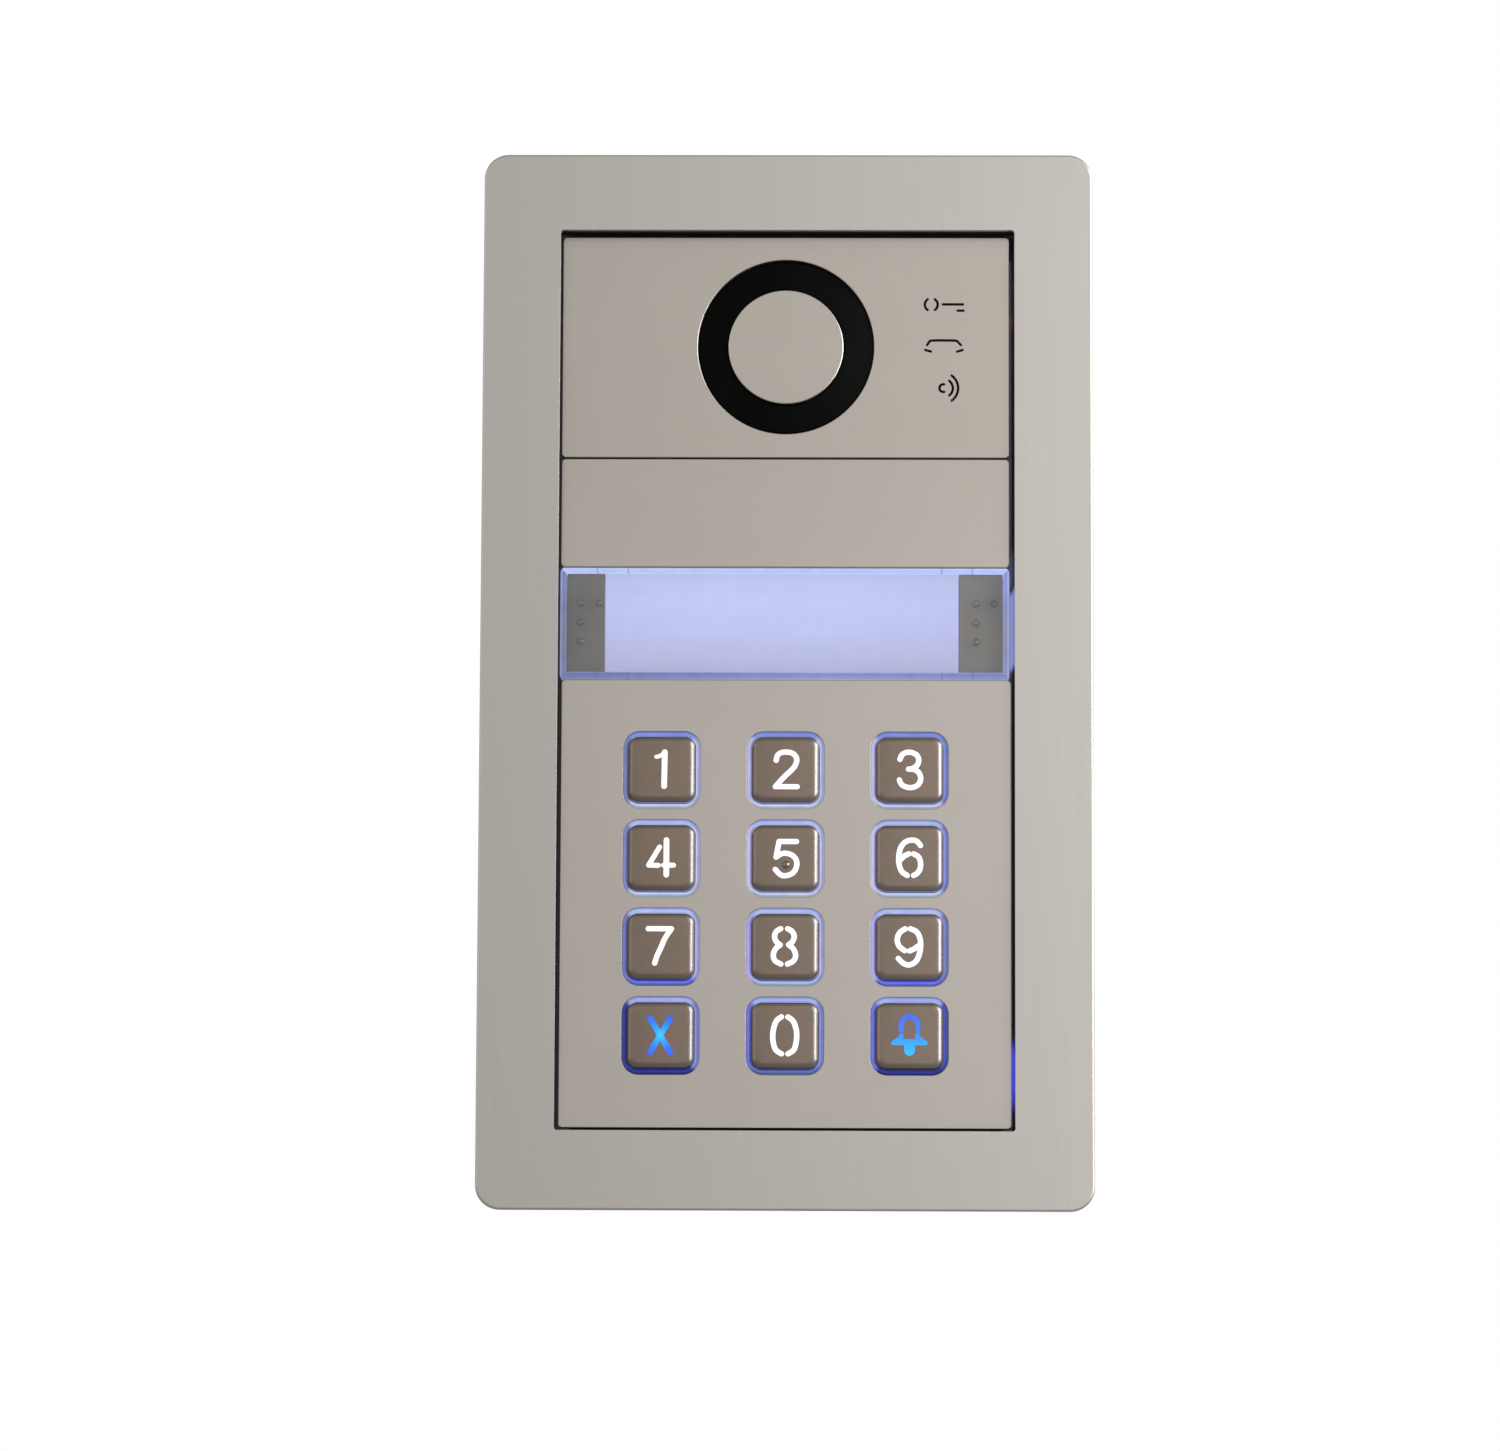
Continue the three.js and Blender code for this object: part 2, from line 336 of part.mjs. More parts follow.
// A stencil-cut metal cap with a flange behind the light guide.
function cap(name) {
  let s = slab(rounded(KEY_SIZE, KEY_SIZE, KEY_R, 3), KEY_FRONT, KEY_REAR, { bevel: KEY_EDGE, seg: 2 });
  s = s.add(slab(rounded(KEY_FLANGE, KEY_FLANGE, 2.2, 1), 3.9, KEY_REAR));
  const inner = KEY_SIZE - 2 * KEY_WALL;
  s = s.subtract(slab(rounded(inner, inner, 1.2, 1), KEY_FRONT + KEY_WALL, KEY_REAR + 1));
  for (const [w, line] of LEGENDS[name]) s = s.subtract(stroke(line, w, KEY_FRONT - 1, KEY_FRONT + KEY_WALL + 0.5));
  if (name === "key_5") s = s.add(turned([[0, KEY_FRONT + 0.3], [0.8, KEY_FRONT + 0.3], [0.7, KEY_FRONT - 0.25], [0.35, KEY_FRONT - 0.5], [0, KEY_FRONT - 0.5]], 6, 0.1, -1.4));
  return s;
}
const coreInner = KEY_SIZE - 2 * KEY_WALL - 0.5;
const core = slab(rounded(coreInner, coreInner, 1.0, 1), KEY_FRONT + KEY_WALL + 0.2, 5.0);
Object.keys(LEGENDS).forEach((name, i) => {
  const group = new THREE.Group();
  group.position.set(places[i][0], 0, places[i][1]);
  keypad.add(group);
  put(name + "_cap", cap(name), "cap", [0, 0, 0], group);
  put(name + "_core", core, name === "key_cross" || name === "key_bell" ? "legendBlue" : "legend", [0, 0, 0], group);
});
put("keypad_mat", join([box(-42, 42, 7.2, 8.0, -85, -7), ...places.map(([x, z]) => cyl(3.0, 6.35, 7.6, 8, x, z))]), "silicone", [0, 0, 0], keypad);
{
  const b = box(-43, 43, 8.3, 9.9, -88.3, -3.4);
  const chips = [box(-30, -20, 9.5, 11.8, -60, -50), box(12, 28, 9.5, 12.0, -64, -52), box(-8, 8, 9.5, 13.0, -40, -32), cyl(3.2, 9.5, 16, 10, 30, -34), cyl(3.2, 9.5, 16, 10, -32, -30)];
  put("keypad_pcb", join([b, ...chips]), "pcb", [0, 0, 0], keypad);
}
// Flat link cable between the two boards, with a plug on each end.
{
  const y = (v) => -v; // drawn in the ZY plane and extruded along X
  const path = [[17.2, 14.6], [17.2, 27.0], [13.6, 30.6], [-13.6, 30.6], [-17.2, 27.0], [-17.2, 10.8]];
  const pts = [];
  const w = 0.5;
  const offset = (s) => path.map((p, i) => {
    const a = path[Math.max(i - 1, 0)], b = path[Math.min(i + 1, path.length - 1)];
    const d1 = i ? V2(p[0] - a[0], p[1] - a[1]).normalize() : null, d2 = i < path.length - 1 ? V2(b[0] - p[0], b[1] - p[1]).normalize() : null;
    const d = d1 && d2 ? d1.clone().add(d2).normalize() : d1 || d2, k = d1 && d2 ? 1 / d.dot(d2) : 1;
    return V2(p[0] + -d.y * w * s * k, p[1] + d.x * w * s * k);
  });
  pts.push(...offset(1), ...offset(-1).reverse());
  const g = new THREE.ExtrudeGeometry(new THREE.Shape(pts), { depth: 16, bevelEnabled: false, steps: 1 });
  // shape x -> Z, shape y -> Y, depth -> X
  g.applyMatrix4(new THREE.Matrix4().set(0, 0, 1, -8, 0, 1, 0, 0, 1, 0, 0, 0, 0, 0, 0, 1));
  let band;
  try { band = solid(g); } catch { band = null; }
  if (!band || band.volume() <= 0) {
    const index = g.index ? g.toNonIndexed() : g;
    const p = index.attributes.position.array;
    for (let i = 0; i < p.length; i += 9) for (let k = 0; k < 3; k++) [p[i + 3 + k], p[i + 6 + k]] = [p[i + 6 + k], p[i + 3 + k]];
    band = solid(index);
  }
  put("link_cable", join([band, box(-9.5, 9.5, 13.9, 20.5, 14.6, 19.4), box(-9.5, 9.5, 10.2, 20.5, -19.4, -14.6)]), "ribbon", [STACK_X, 0, 0], root);
}

export default root;
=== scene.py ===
import math

import bmesh
import bpy
from mathutils import Matrix, Vector
from mathutils.geometry import delaunay_2d_cdt


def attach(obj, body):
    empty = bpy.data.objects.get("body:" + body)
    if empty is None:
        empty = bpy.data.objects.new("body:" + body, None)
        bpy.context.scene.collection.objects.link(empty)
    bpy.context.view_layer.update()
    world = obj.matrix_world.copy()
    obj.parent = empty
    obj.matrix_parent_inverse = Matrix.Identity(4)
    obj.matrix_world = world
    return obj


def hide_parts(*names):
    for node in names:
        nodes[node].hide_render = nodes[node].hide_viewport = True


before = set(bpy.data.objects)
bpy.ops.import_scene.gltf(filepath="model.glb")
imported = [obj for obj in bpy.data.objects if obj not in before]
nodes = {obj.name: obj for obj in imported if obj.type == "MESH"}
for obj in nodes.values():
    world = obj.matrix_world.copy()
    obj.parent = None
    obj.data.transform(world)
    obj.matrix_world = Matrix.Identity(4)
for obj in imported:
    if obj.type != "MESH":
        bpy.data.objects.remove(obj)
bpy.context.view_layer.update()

scene = bpy.context.scene
MM = 0.001

# ---------------------------------------------------------------- sizes shared with the CAD source
STACK_X, KEYPAD_X = -0.43, -0.1
PLATE_W = 91.95
AUDIO_Z, BLANK_Z, BUTTON_Z, KEYPAD_Z = (45.8, 91.8), (23.1, 45.5), (0.0, 22.9), (-91.6, -0.15)
RING_X, RING_Z, RING_R, DISC_R = -0.35, 68.87, 18.12, 11.84
COVER_WALL, COVER_TOP, COVER_BOTTOM = 1.3, 0.9, 1.4
APERTURE = (93.2, 184.65, -0.1, 0.18)  # width, height and centre of the frame's opening
RIM_OUT, RIM_OUT_R, RIM_IN, RIM_IN_R = 15.6, 3.3, 13.9, 2.25
KEY_NAMES = ["key_1", "key_2", "key_3", "key_4", "key_5", "key_6", "key_7", "key_8", "key_9", "key_cross", "key_0", "key_bell"]
KEY_X = [KEYPAD_X - 25.25, KEYPAD_X, KEYPAD_X + 25.25]
KEY_Z = [-18.7 - 18.05 * i for i in range(4)]
KEY_AT = {name: (KEY_X[i % 3], KEY_Z[i // 3]) for i, name in enumerate(KEY_NAMES)}


# ---------------------------------------------------------------- outlines
def rounded(w, h, r, seg=6, cx=0.0, cz=0.0):
    out = []
    r = max(r, 0.02)
    for x, z, a in ((w / 2 - r, h / 2 - r, 0), (-w / 2 + r, h / 2 - r, 90), (-w / 2 + r, -h / 2 + r, 180), (w / 2 - r, -h / 2 + r, 270)):
        for i in range(seg + 1):
            t = math.radians(a + 90 * i / seg)
            out.append((cx + x + r * math.cos(t), cz + z + r * math.sin(t)))
    return out


def circle(r, n, cx=0.0, cz=0.0):
    return [(cx + r * math.cos(2 * math.pi * i / n), cz + r * math.sin(2 * math.pi * i / n)) for i in range(n)]


def arc(cx, cz, rx, rz, a0, a1, n=10):
    return [(cx + rx * math.cos(math.radians(a0 + (a1 - a0) * i / n)), cz + rz * math.sin(math.radians(a0 + (a1 - a0) * i / n))) for i in range(n + 1)]


def curve(points, n=5):
    """A smooth line through the points."""
    p = [points[0]] + list(points) + [points[-1]]
    out = []
    for i in range(1, len(p) - 2):
        a, b, c, d = p[i - 1], p[i], p[i + 1], p[i + 2]
        for k in range(n):
            t = k / n
            out.append(tuple(0.5 * (2 * b[j] + (c[j] - a[j]) * t + (2 * a[j] - 5 * b[j] + 4 * c[j] - d[j]) * t * t + (3 * b[j] - 3 * c[j] + d[j] - a[j]) * t * t * t) for j in (0, 1)))
    out.append(tuple(points[-1]))
    return out


def rows_out(outline, y0, y1, e0=0.0, e1=0.0, n=4):
    """Loops of a body from its front depth y0 to its rear depth y1, with rounded edges e0 and e1. outline(inset) gives a loop."""
    rows = []
    if e0:
        for i in range(n + 1):
            t = math.pi / 2 * i / n
            rows.append((outline(e0 * (1 - math.sin(t))), y0 + e0 * (1 - math.cos(t))))
    else:
        rows.append((outline(0), y0))
    if e1:
        for i in range(n + 1):
            t = math.pi / 2 * i / n
            rows.append((outline(e1 * (1 - math.cos(t))), y1 - e1 * (1 - math.sin(t))))
    else:
        rows.append((outline(0), y1))
    return rows


# ---------------------------------------------------------------- mesh building
class Shape:
    def __init__(self):
        self.v, self.f, self.m = [], [], []

    def ring(self, loop, y):
        base = len(self.v)
        self.v += [(x, y, z) for x, z in loop]
        return list(range(base, base + len(loop)))

    def skin(self, a, b, mat=0):
        n = len(a)
        for i in range(n):
            j = (i + 1) % n
            self.f.append((a[i], a[j], b[j], b[i]))
            self.m.append(mat)

    def tube(self, rows, mat=0):
        """Rings for the rows, skinned one to the next. Returns the rings."""
        rings = [self.ring(loop, y) for loop, y in rows]
        for a, b in zip(rings, rings[1:]):
            self.skin(a, b, mat)
        return rings

    def cap(self, outer, holes=(), mat=0):
        """A flat face between an outer ring and hole rings, all at one depth."""
        index, edges = [], []
        for ring in (outer, *holes):
            base = len(index)
            index += ring
            edges += [(base + i, base + (i + 1) % len(ring)) for i in range(len(ring))]
        flat = [Vector((self.v[i][0], self.v[i][2])) for i in index]
        vs, _, fs, ov, _, _ = delaunay_2d_cdt(flat, edges, [], 0, 1e-6)
        loops = [[(self.v[i][0], self.v[i][2]) for i in ring] for ring in (outer, *holes)]
        depth = self.v[outer[0]][1]
        names = []
        for k, v in enumerate(vs):
            if ov[k]:
                names.append(index[ov[k][0]])
            else:
                self.v.append((v[0], depth, v[1]))
                names.append(len(self.v) - 1)
        for tri in fs:
            cx = sum(vs[i][0] for i in tri) / len(tri)
            cz = sum(vs[i][1] for i in tri) / len(tri)
            if sum(inside(cx, cz, loop) for loop in loops) % 2 == 1:
                self.f.append(tuple(names[i] for i in tri))
                self.m.append(mat)

    def turned(self, profile, n, cx=0.0, cz=0.0, mat=0):
        """A closed body of revolution about an axis along Y. Profile of (radius, y) from axis to axis, or a closed ring of pairs."""
        rings = []
        for r, y in profile:
            if r <= 1e-6:
                self.v.append((cx, y, cz))
                rings.append([len(self.v) - 1])
            else:
                rings.append(self.ring(circle(r, n, cx, cz), y))
        closed = profile[0][0] > 1e-6
        pairs = list(zip(rings, rings[1:])) + ([(rings[-1], rings[0])] if closed else [])
        for a, b in pairs:
            if len(a) == 1 and len(b) == 1:
                continue
            if len(a) == 1 or len(b) == 1:
                pole, ring = (a[0], b) if len(a) == 1 else (b[0], a)
                for i in range(n):
                    self.f.append((pole, ring[i], ring[(i + 1) % n]))
                    self.m.append(mat)
            else:
                self.skin(a, b, mat)

    def block(self, x0, x1, y0, y1, z0, z1, e=0.2, mat=0, n=2):
        """A box with every edge parallel to the face rounded."""
        cx, cz, w, h = (x0 + x1) / 2, (z0 + z1) / 2, x1 - x0, z1 - z0
        rows = rows_out(lambda i: rounded(w - 2 * i, h - 2 * i, max(e - i, 0.02), 2, cx, cz), y0, y1, e, e, n)
        rings = self.tube(rows, mat)
        self.cap(rings[0], (), mat)
        self.cap(rings[-1], (), mat)


def inside(x, z, loop):
    hit = False
    j = len(loop) - 1
    for i in range(len(loop)):
        xi, zi = loop[i]
        xj, zj = loop[j]
        if (zi > z) != (zj > z) and x < (xj - xi) * (z - zi) / (zj - zi) + xi:
            hit = not hit
        j = i
    return hit


def simplify(loop, tol):
    """Drops points that lie on the line between their neighbours."""
    pts = list(loop)
    changed = True
    while changed and len(pts) > 4:
        changed = False
        keep = []
        i = 0
        while i < len(pts):
            a, b, c = keep[-1] if keep else pts[-1], pts[i], pts[(i + 1) % len(pts)]
            dx, dz = c[0] - a[0], c[1] - a[1]
            length = math.hypot(dx, dz)
            off = abs((b[0] - a[0]) * dz - (b[1] - a[1]) * dx) / length if length > 1e-9 else 0
            if (off < tol or math.hypot(b[0] - a[0], b[1] - a[1]) < 0.02) and len(pts) - 1 > 4:
                changed = True
                keep.append(c)
                i += 2
                if i > len(pts):
                    keep.pop()
            else:
                keep.append(b)
                i += 1
        pts = keep
        tol *= 0.5
    return pts


def union(polygons, tol=0.004):
    """Outlines of the union of closed polygons."""
    verts, faces = [], []
    for poly in polygons:
        faces.append(list(range(len(verts), len(verts) + len(poly))))
        verts += [Vector(p) for p in poly]
    vs, _, fs, _, _, of = delaunay_2d_cdt(verts, [], faces, 1, 1e-5)
    directed = set()
    for tri, src in zip(fs, of):
        if src:
            for i in range(len(tri)):
                directed.add((tri[i], tri[(i + 1) % len(tri)]))
    after = {}
    for a, b in directed:
        if (b, a) not in directed:
            after.setdefault(a, []).append(b)
    loops = []
    while after:
        start = next(iter(after))
        loop, here = [], start
        while here in after:
            nxt = after[here].pop()
            if not after[here]:
                del after[here]
            loop.append(here)
            here = nxt
            if here == start:
                break
        if len(loop) > 2:
            loops.append(simplify([(vs[i][0], vs[i][1]) for i in loop], tol))
    return loops


def thick(line, w, flat=False, n=14):
    """Polygons that cover a line of width w, round at its joints and, unless flat, at its ends."""
    out = []
    for (x0, z0), (x1, z1) in zip(line, line[1:]):
        d = math.hypot(x1 - x0, z1 - z0)
        if d < 1e-6:
            continue
        nx, nz = -(z1 - z0) / d * w / 2, (x1 - x0) / d * w / 2
        out.append([(x0 + nx, z0 + nz), (x0 - nx, z0 - nz), (x1 - nx, z1 - nz), (x1 + nx, z1 + nz)])
    ends = line[1:-1] if flat else line
    for k, (x, z) in enumerate(ends):
        out.append([(x + w / 2 * math.cos(2 * math.pi * (i + 0.13 * (k % 3)) / n), z + w / 2 * math.sin(2 * math.pi * (i + 0.13 * (k % 3)) / n)) for i in range(n)])
    return out


def build(name, shape, mats, body, replaces=(), sharp=32, bevel=0.0):
    me = bpy.data.meshes.new(name)
    me.from_pydata([(x * MM, y * MM, z * MM) for x, y, z in shape.v], [], shape.f)
    for m in mats:
        me.materials.append(m)
    me.polygons.foreach_set("material_index", shape.m)
    bm = bmesh.new()
    bm.from_mesh(me)
    bmesh.ops.remove_doubles(bm, verts=bm.verts, dist=1e-7)
    bmesh.ops.recalc_face_normals(bm, faces=bm.faces)
    bm.to_mesh(me)
    bm.free()
    me.polygons.foreach_set("use_smooth", [True] * len(me.polygons))
    me.set_sharp_from_angle(angle=math.radians(sharp))
    o = bpy.data.objects.new(name, me)
    scene.collection.objects.link(o)
    if bevel:
        b = o.modifiers.new("edge", "BEVEL")
        b.width, b.segments, b.limit_method, b.angle_limit = bevel * MM, 2, "ANGLE", math.radians(40)
        b.harden_normals = True
    w = o.modifiers.new("normals", "WEIGHTED_NORMAL")
    w.keep_sharp = True
    w.weight = 80
    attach(o, body)
    if replaces:
        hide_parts(*replaces)
    return o


# ---------------------------------------------------------------- materials
def lin(r, g, b):
    return tuple((c / 255 / 12.92 if c / 255 <= 0.04045 else ((c / 255 + 0.055) / 1.055) ** 2.4) for c in (r, g, b)) + (1.0,)


def shade(c, k):
    return (c[0] * k, c[1] * k, c[2] * k, 1.0)


class Mat:
    def __init__(self, name):
        self.mat = bpy.data.materials.new(name)
        self.mat.use_nodes = True
        self.t = self.mat.node_tree
        self.t.nodes.clear()
        self.out = self.t.nodes.new("ShaderNodeOutputMaterial")

    def n(self, kind, props=None, inputs=None):
        node = self.t.nodes.new("ShaderNode" + kind)
        for k, v in (props or {}).items():
            setattr(node, k, v)
        for k, v in (inputs or {}).items():
            self.set(node.inputs[k], v)
        return node

    def set(self, sock, v):
        if isinstance(v, bpy.types.NodeSocket):
            self.t.links.new(v, sock)
        elif isinstance(v, bpy.types.Node):
            self.t.links.new(v.outputs[0], sock)
        else:
            sock.default_value = v

    def obj(self, scale=(1, 1, 1), at=(0, 0, 0)):
        co = self.n("TexCoord").outputs["Object"]
        return self.n("Mapping", {"vector_type": "POINT"}, {"Vector": co, "Scale": scale, "Location": at}).outputs[0]

    def noise(self, vec, scale=1.0, detail=2.0, rough=0.5, distortion=0.0):
        return self.n("TexNoise", None, {"Vector": vec, "Scale": scale, "Detail": detail, "Roughness": rough, "Distortion": distortion}).outputs["Fac"]

    def ramp(self, fac, stops, interp="LINEAR"):
        r = self.n("ValToRGB", None, {"Fac": fac})
        r.color_ramp.interpolation = interp
        el = r.color_ramp.elements
        while len(el) < len(stops):
            el.new(0.5)
        for e, (p, c) in zip(el, stops):
            e.position = p
            e.color = c if len(c) == 4 else (*c, 1)
        return r.outputs[0]

    def m(self, op, a, b=0.0, c=0.0, clamp=False):
        node = self.n("Math", {"operation": op, "use_clamp": clamp})
        for i, v in enumerate((a, b, c)):
            if i < len(node.inputs):
                self.set(node.inputs[i], v)
        return node.outputs[0]

    def span(self, v, a, b, c=0.0, d=1.0, smooth=False):
        return self.n("MapRange", {"clamp": True, "interpolation_type": "SMOOTHSTEP" if smooth else "LINEAR"}, {"Value": v, "From Min": a, "From Max": b, "To Min": c, "To Max": d}).outputs[0]

    def mix(self, fac, a, b, blend="MIX"):
        node = self.n("Mix", {"data_type": "RGBA", "blend_type": blend})
        self.set(node.inputs[0], fac)
        self.set(node.inputs[6], a)
        self.set(node.inputs[7], b)
        return node.outputs[2]

    def xyz(self, vec=None):
        s = self.n("SeparateXYZ", None, {"Vector": vec if vec is not None else self.n("TexCoord").outputs["Object"]})
        return s.outputs[0], s.outputs[1], s.outputs[2]

    def bump(self, height, strength, dist):
        return self.n("Bump", None, {"Height": height, "Strength": strength, "Distance": dist}).outputs[0]

    def pbr(self, **k):
        names = {"base": "Base Color", "metal": "Metallic", "rough": "Roughness", "normal": "Normal", "spec": "Specular IOR Level", "ior": "IOR", "alpha": "Alpha",
                 "emit": "Emission Color", "strength": "Emission Strength", "coat": "Coat Weight", "coat_rough": "Coat Roughness", "trans": "Transmission Weight", "sheen": "Sheen Weight",
                 "sss": "Subsurface Weight", "sss_scale": "Subsurface Scale", "aniso": "Anisotropic", "tangent": "Tangent"}
        p = self.n("BsdfPrincipled", None, {names[a]: b for a, b in k.items()})
        self.t.links.new(p.outputs[0], self.out.inputs[0])
        return p


def _cell(m):
    """Position within a key's own square, in metres, with the row (0 to 3 downwards) and the column (-1, 0, 1)."""
    x, _, z = m.xyz()
    px, pz = 0.02525, 0.01805
    cx, cz = KEYPAD_X * MM, KEY_Z[0] * MM
    lx = m.m("SUBTRACT", m.m("MODULO", m.m("ADD", x, 4.5 * px - cx), px), px / 2)
    lz = m.m("SUBTRACT", m.m("MODULO", m.m("ADD", z, 9.5 * pz - cz), pz), pz / 2)
    row = m.m("ROUND", m.m("DIVIDE", m.m("SUBTRACT", cz, z), pz))
    col = m.m("ROUND", m.m("DIVIDE", m.m("SUBTRACT", x, cx), px))
    return x, z, lx, lz, row, col


def brushed(name, tint, along="z", dark=0.97, light=1.03, rough=(0.36, 0.42), fine=5200, long=30, bump=0.02, broad=0.25, metal=1.0, gain=1.0, painted_light_gradient=(0.89, 1.12)):
    """Brushed metal with its lines along one axis, and painted shading that makes it darker to the left and lighter to
    the right.
    """
    m = Mat(name)
    tint = shade(tint, gain)
    s1 = (fine, fine, long) if along == "z" else (long, fine, fine)
    s2 = (fine / 6, fine / 6, long / 5) if along == "z" else (long / 5, fine / 6, fine / 6)
    lines = m.noise(m.obj(s1), 1.0, 3.0, 0.62)
    bands = m.noise(m.obj(s2, (3.1, 1.7, 0.4)), 1.0, 2.0, 0.5)
    both = m.m("ADD", m.m("MULTIPLY", lines, 1 - broad), m.m("MULTIPLY", bands, broad))
    base = m.ramp(both, [(0.3, shade(tint, dark)), (0.5, tint), (0.7, shade(tint, light))])
    # painted shading: the base colour darkens to the left and lightens to the right, standing in for light from the
    # right
    base = m.mix(1.0, base, m.ramp(m.span(m.xyz()[0], -0.062, 0.062), [(0.0, (painted_light_gradient[0],) * 3 + (1,)), (1.0, (painted_light_gradient[1],) * 3 + (1,))]), "MULTIPLY")
    r = m.span(lines, 0.3, 0.7, rough[0], rough[1])
    m.pbr(base=base, metal=metal, rough=r, normal=m.bump(lines, bump, 0.00008))
    return m.mat


def satin(name, tint, dark=0.965, light=1.03, rough=(0.32, 0.4), grain=7000, bump=0.05, metal=1.0, cloud=0.02, painted_light_gradient=(0.93, 1.07)):
    """Fine bead-blasted metal: an even, very fine grain, with faint broad unevenness, and painted shading that makes it
    darker to the left and lighter to the right.
    """
    m = Mat(name)
    g = m.noise(m.obj((grain, grain, grain)), 1.0, 2.0, 0.6)
    mott = m.noise(m.obj((90, 90, 70), (0.3, 0.1, 0.9)), 1.0, 3.0, 0.55)
    base = m.ramp(g, [(0.28, shade(tint, dark)), (0.5, tint), (0.72, shade(tint, light))])
    base = m.mix(1.0, base, m.ramp(mott, [(0.3, (1 - cloud, 1 - cloud, 1 - cloud, 1)), (0.7, (1, 1, 1, 1))]), "MULTIPLY")
    # painted shading: the base colour darkens to the left and lightens to the right, standing in for light from the
    # right
    base = m.mix(1.0, base, m.ramp(m.span(m.xyz()[0], -0.046, 0.046), [(0.0, (painted_light_gradient[0],) * 3 + (1,)), (1.0, (painted_light_gradient[1],) * 3 + (1,))]), "MULTIPLY")
    m.pbr(base=base, metal=metal, rough=m.span(g, 0.3, 0.7, rough[0], rough[1]), normal=m.bump(g, bump, 0.00005))
    return m.mat


def plate_metal():
    """Bead-blasted plate metal, with painted shading that makes it darker to the left and lighter to the right, and a
    touch brighter and bluer towards the bottom.
    """
    m = Mat("plate_metal")
    g = m.noise(m.obj((7000, 7000, 7000)), 1.0, 2.0, 0.6)
    mott = m.noise(m.obj((90, 90, 70), (0.3, 0.1, 0.9)), 1.0, 3.0, 0.55)
    x, _, z = m.xyz()
    base = m.ramp(g, [(0.28, shade(PLATE, 0.965)), (0.5, PLATE), (0.72, shade(PLATE, 1.03))])
    base = m.mix(1.0, base, m.ramp(mott, [(0.3, (0.98, 0.98, 0.98, 1)), (0.7, (1, 1, 1, 1))]), "MULTIPLY")
    # painted shading: the base colour darkens to the left and lightens to the right, standing in for light from the
    # right
    base = m.mix(1.0, base, m.ramp(m.span(x, -0.046, 0.046), [(0.0, (0.93, 0.93, 0.93, 1)), (1.0, (1.07, 1.07, 1.07, 1))]), "MULTIPLY")
    base = m.mix(1.0, base, m.ramp(m.span(z, -0.005, 0.05), [(0.0, (1.045, 1.05, 1.075, 1)), (1.0, (1, 1, 1, 1))]), "MULTIPLY")
    m.pbr(base=base, metal=1.0, rough=m.span(g, 0.3, 0.7, 0.32, 0.4), normal=m.bump(g, 0.05, 0.00005))
    return m.mat


def cap_steel():
    """Bronze-toned key metal: a fine grain with soft patches that drift from grey-green to reddish. Painted shading
    makes each key and the whole pad darker to the left, and painted highlight tints make the faces turned right whiter
    and those turned down bluer.
    """
    m = Mat("key_steel")
    g = m.noise(m.obj((3200, 3200, 2300)), 1.0, 3.0, 0.6)
    patch = m.noise(m.obj((260, 260, 330), (0.7, 0.2, 0.5)), 1.0, 2.0, 0.5)
    x, z, lx, lz, row, col = _cell(m)
    tint = m.ramp(patch, [(0.3, lin(138, 127, 113)), (0.5, lin(141, 127, 117)), (0.72, lin(145, 127, 119))])
    # painted shading: each key darker at its left and lighter at its right
    tint = m.mix(1.0, tint, m.ramp(m.span(lx, -0.0060, 0.0055), [(0.0, (0.9, 0.92, 0.92, 1)), (0.5, (1.02, 1.0, 1.0, 1)), (1.0, (1.05, 1.06, 1.06, 1))]), "MULTIPLY")
    # painted shading across the pad: the left keys darker, the right ones lighter
    tint = m.mix(1.0, tint, m.ramp(m.span(x, -0.03, 0.03), [(0.0, (0.92, 0.91, 0.9, 1)), (1.0, (1.06, 1.06, 1.07, 1))]), "MULTIPLY")
    base = m.mix(1.0, tint, m.ramp(g, [(0.28, (0.93, 0.93, 0.93, 1)), (0.5, (1, 1, 1, 1)), (0.72, (1.06, 1.06, 1.06, 1))]), "MULTIPLY")
    nx, _, nz = m.xyz(m.n("NewGeometry").outputs["Normal"])
    # painted highlight: faces turned to the right are tinted whiter
    base = m.mix(1.0, base, m.ramp(m.span(nx, 0.1, 0.4), [(0.0, (1, 1, 1, 1)), (1.0, (0.92, 1.09, 1.3, 1))]), "MULTIPLY")
    # painted reflection: faces turned downwards are tinted bluer
    base = m.mix(1.0, base, m.ramp(m.span(nz, -0.15, -0.7), [(0.0, (1, 1, 1, 1)), (1.0, (1.0, 1.2, 1.45, 1))]), "MULTIPLY")
    m.pbr(base=base, metal=1.0, rough=m.span(g, 0.3, 0.7, 0.27, 0.36), normal=m.bump(g, 0.05, 0.00006))
    return m.mat


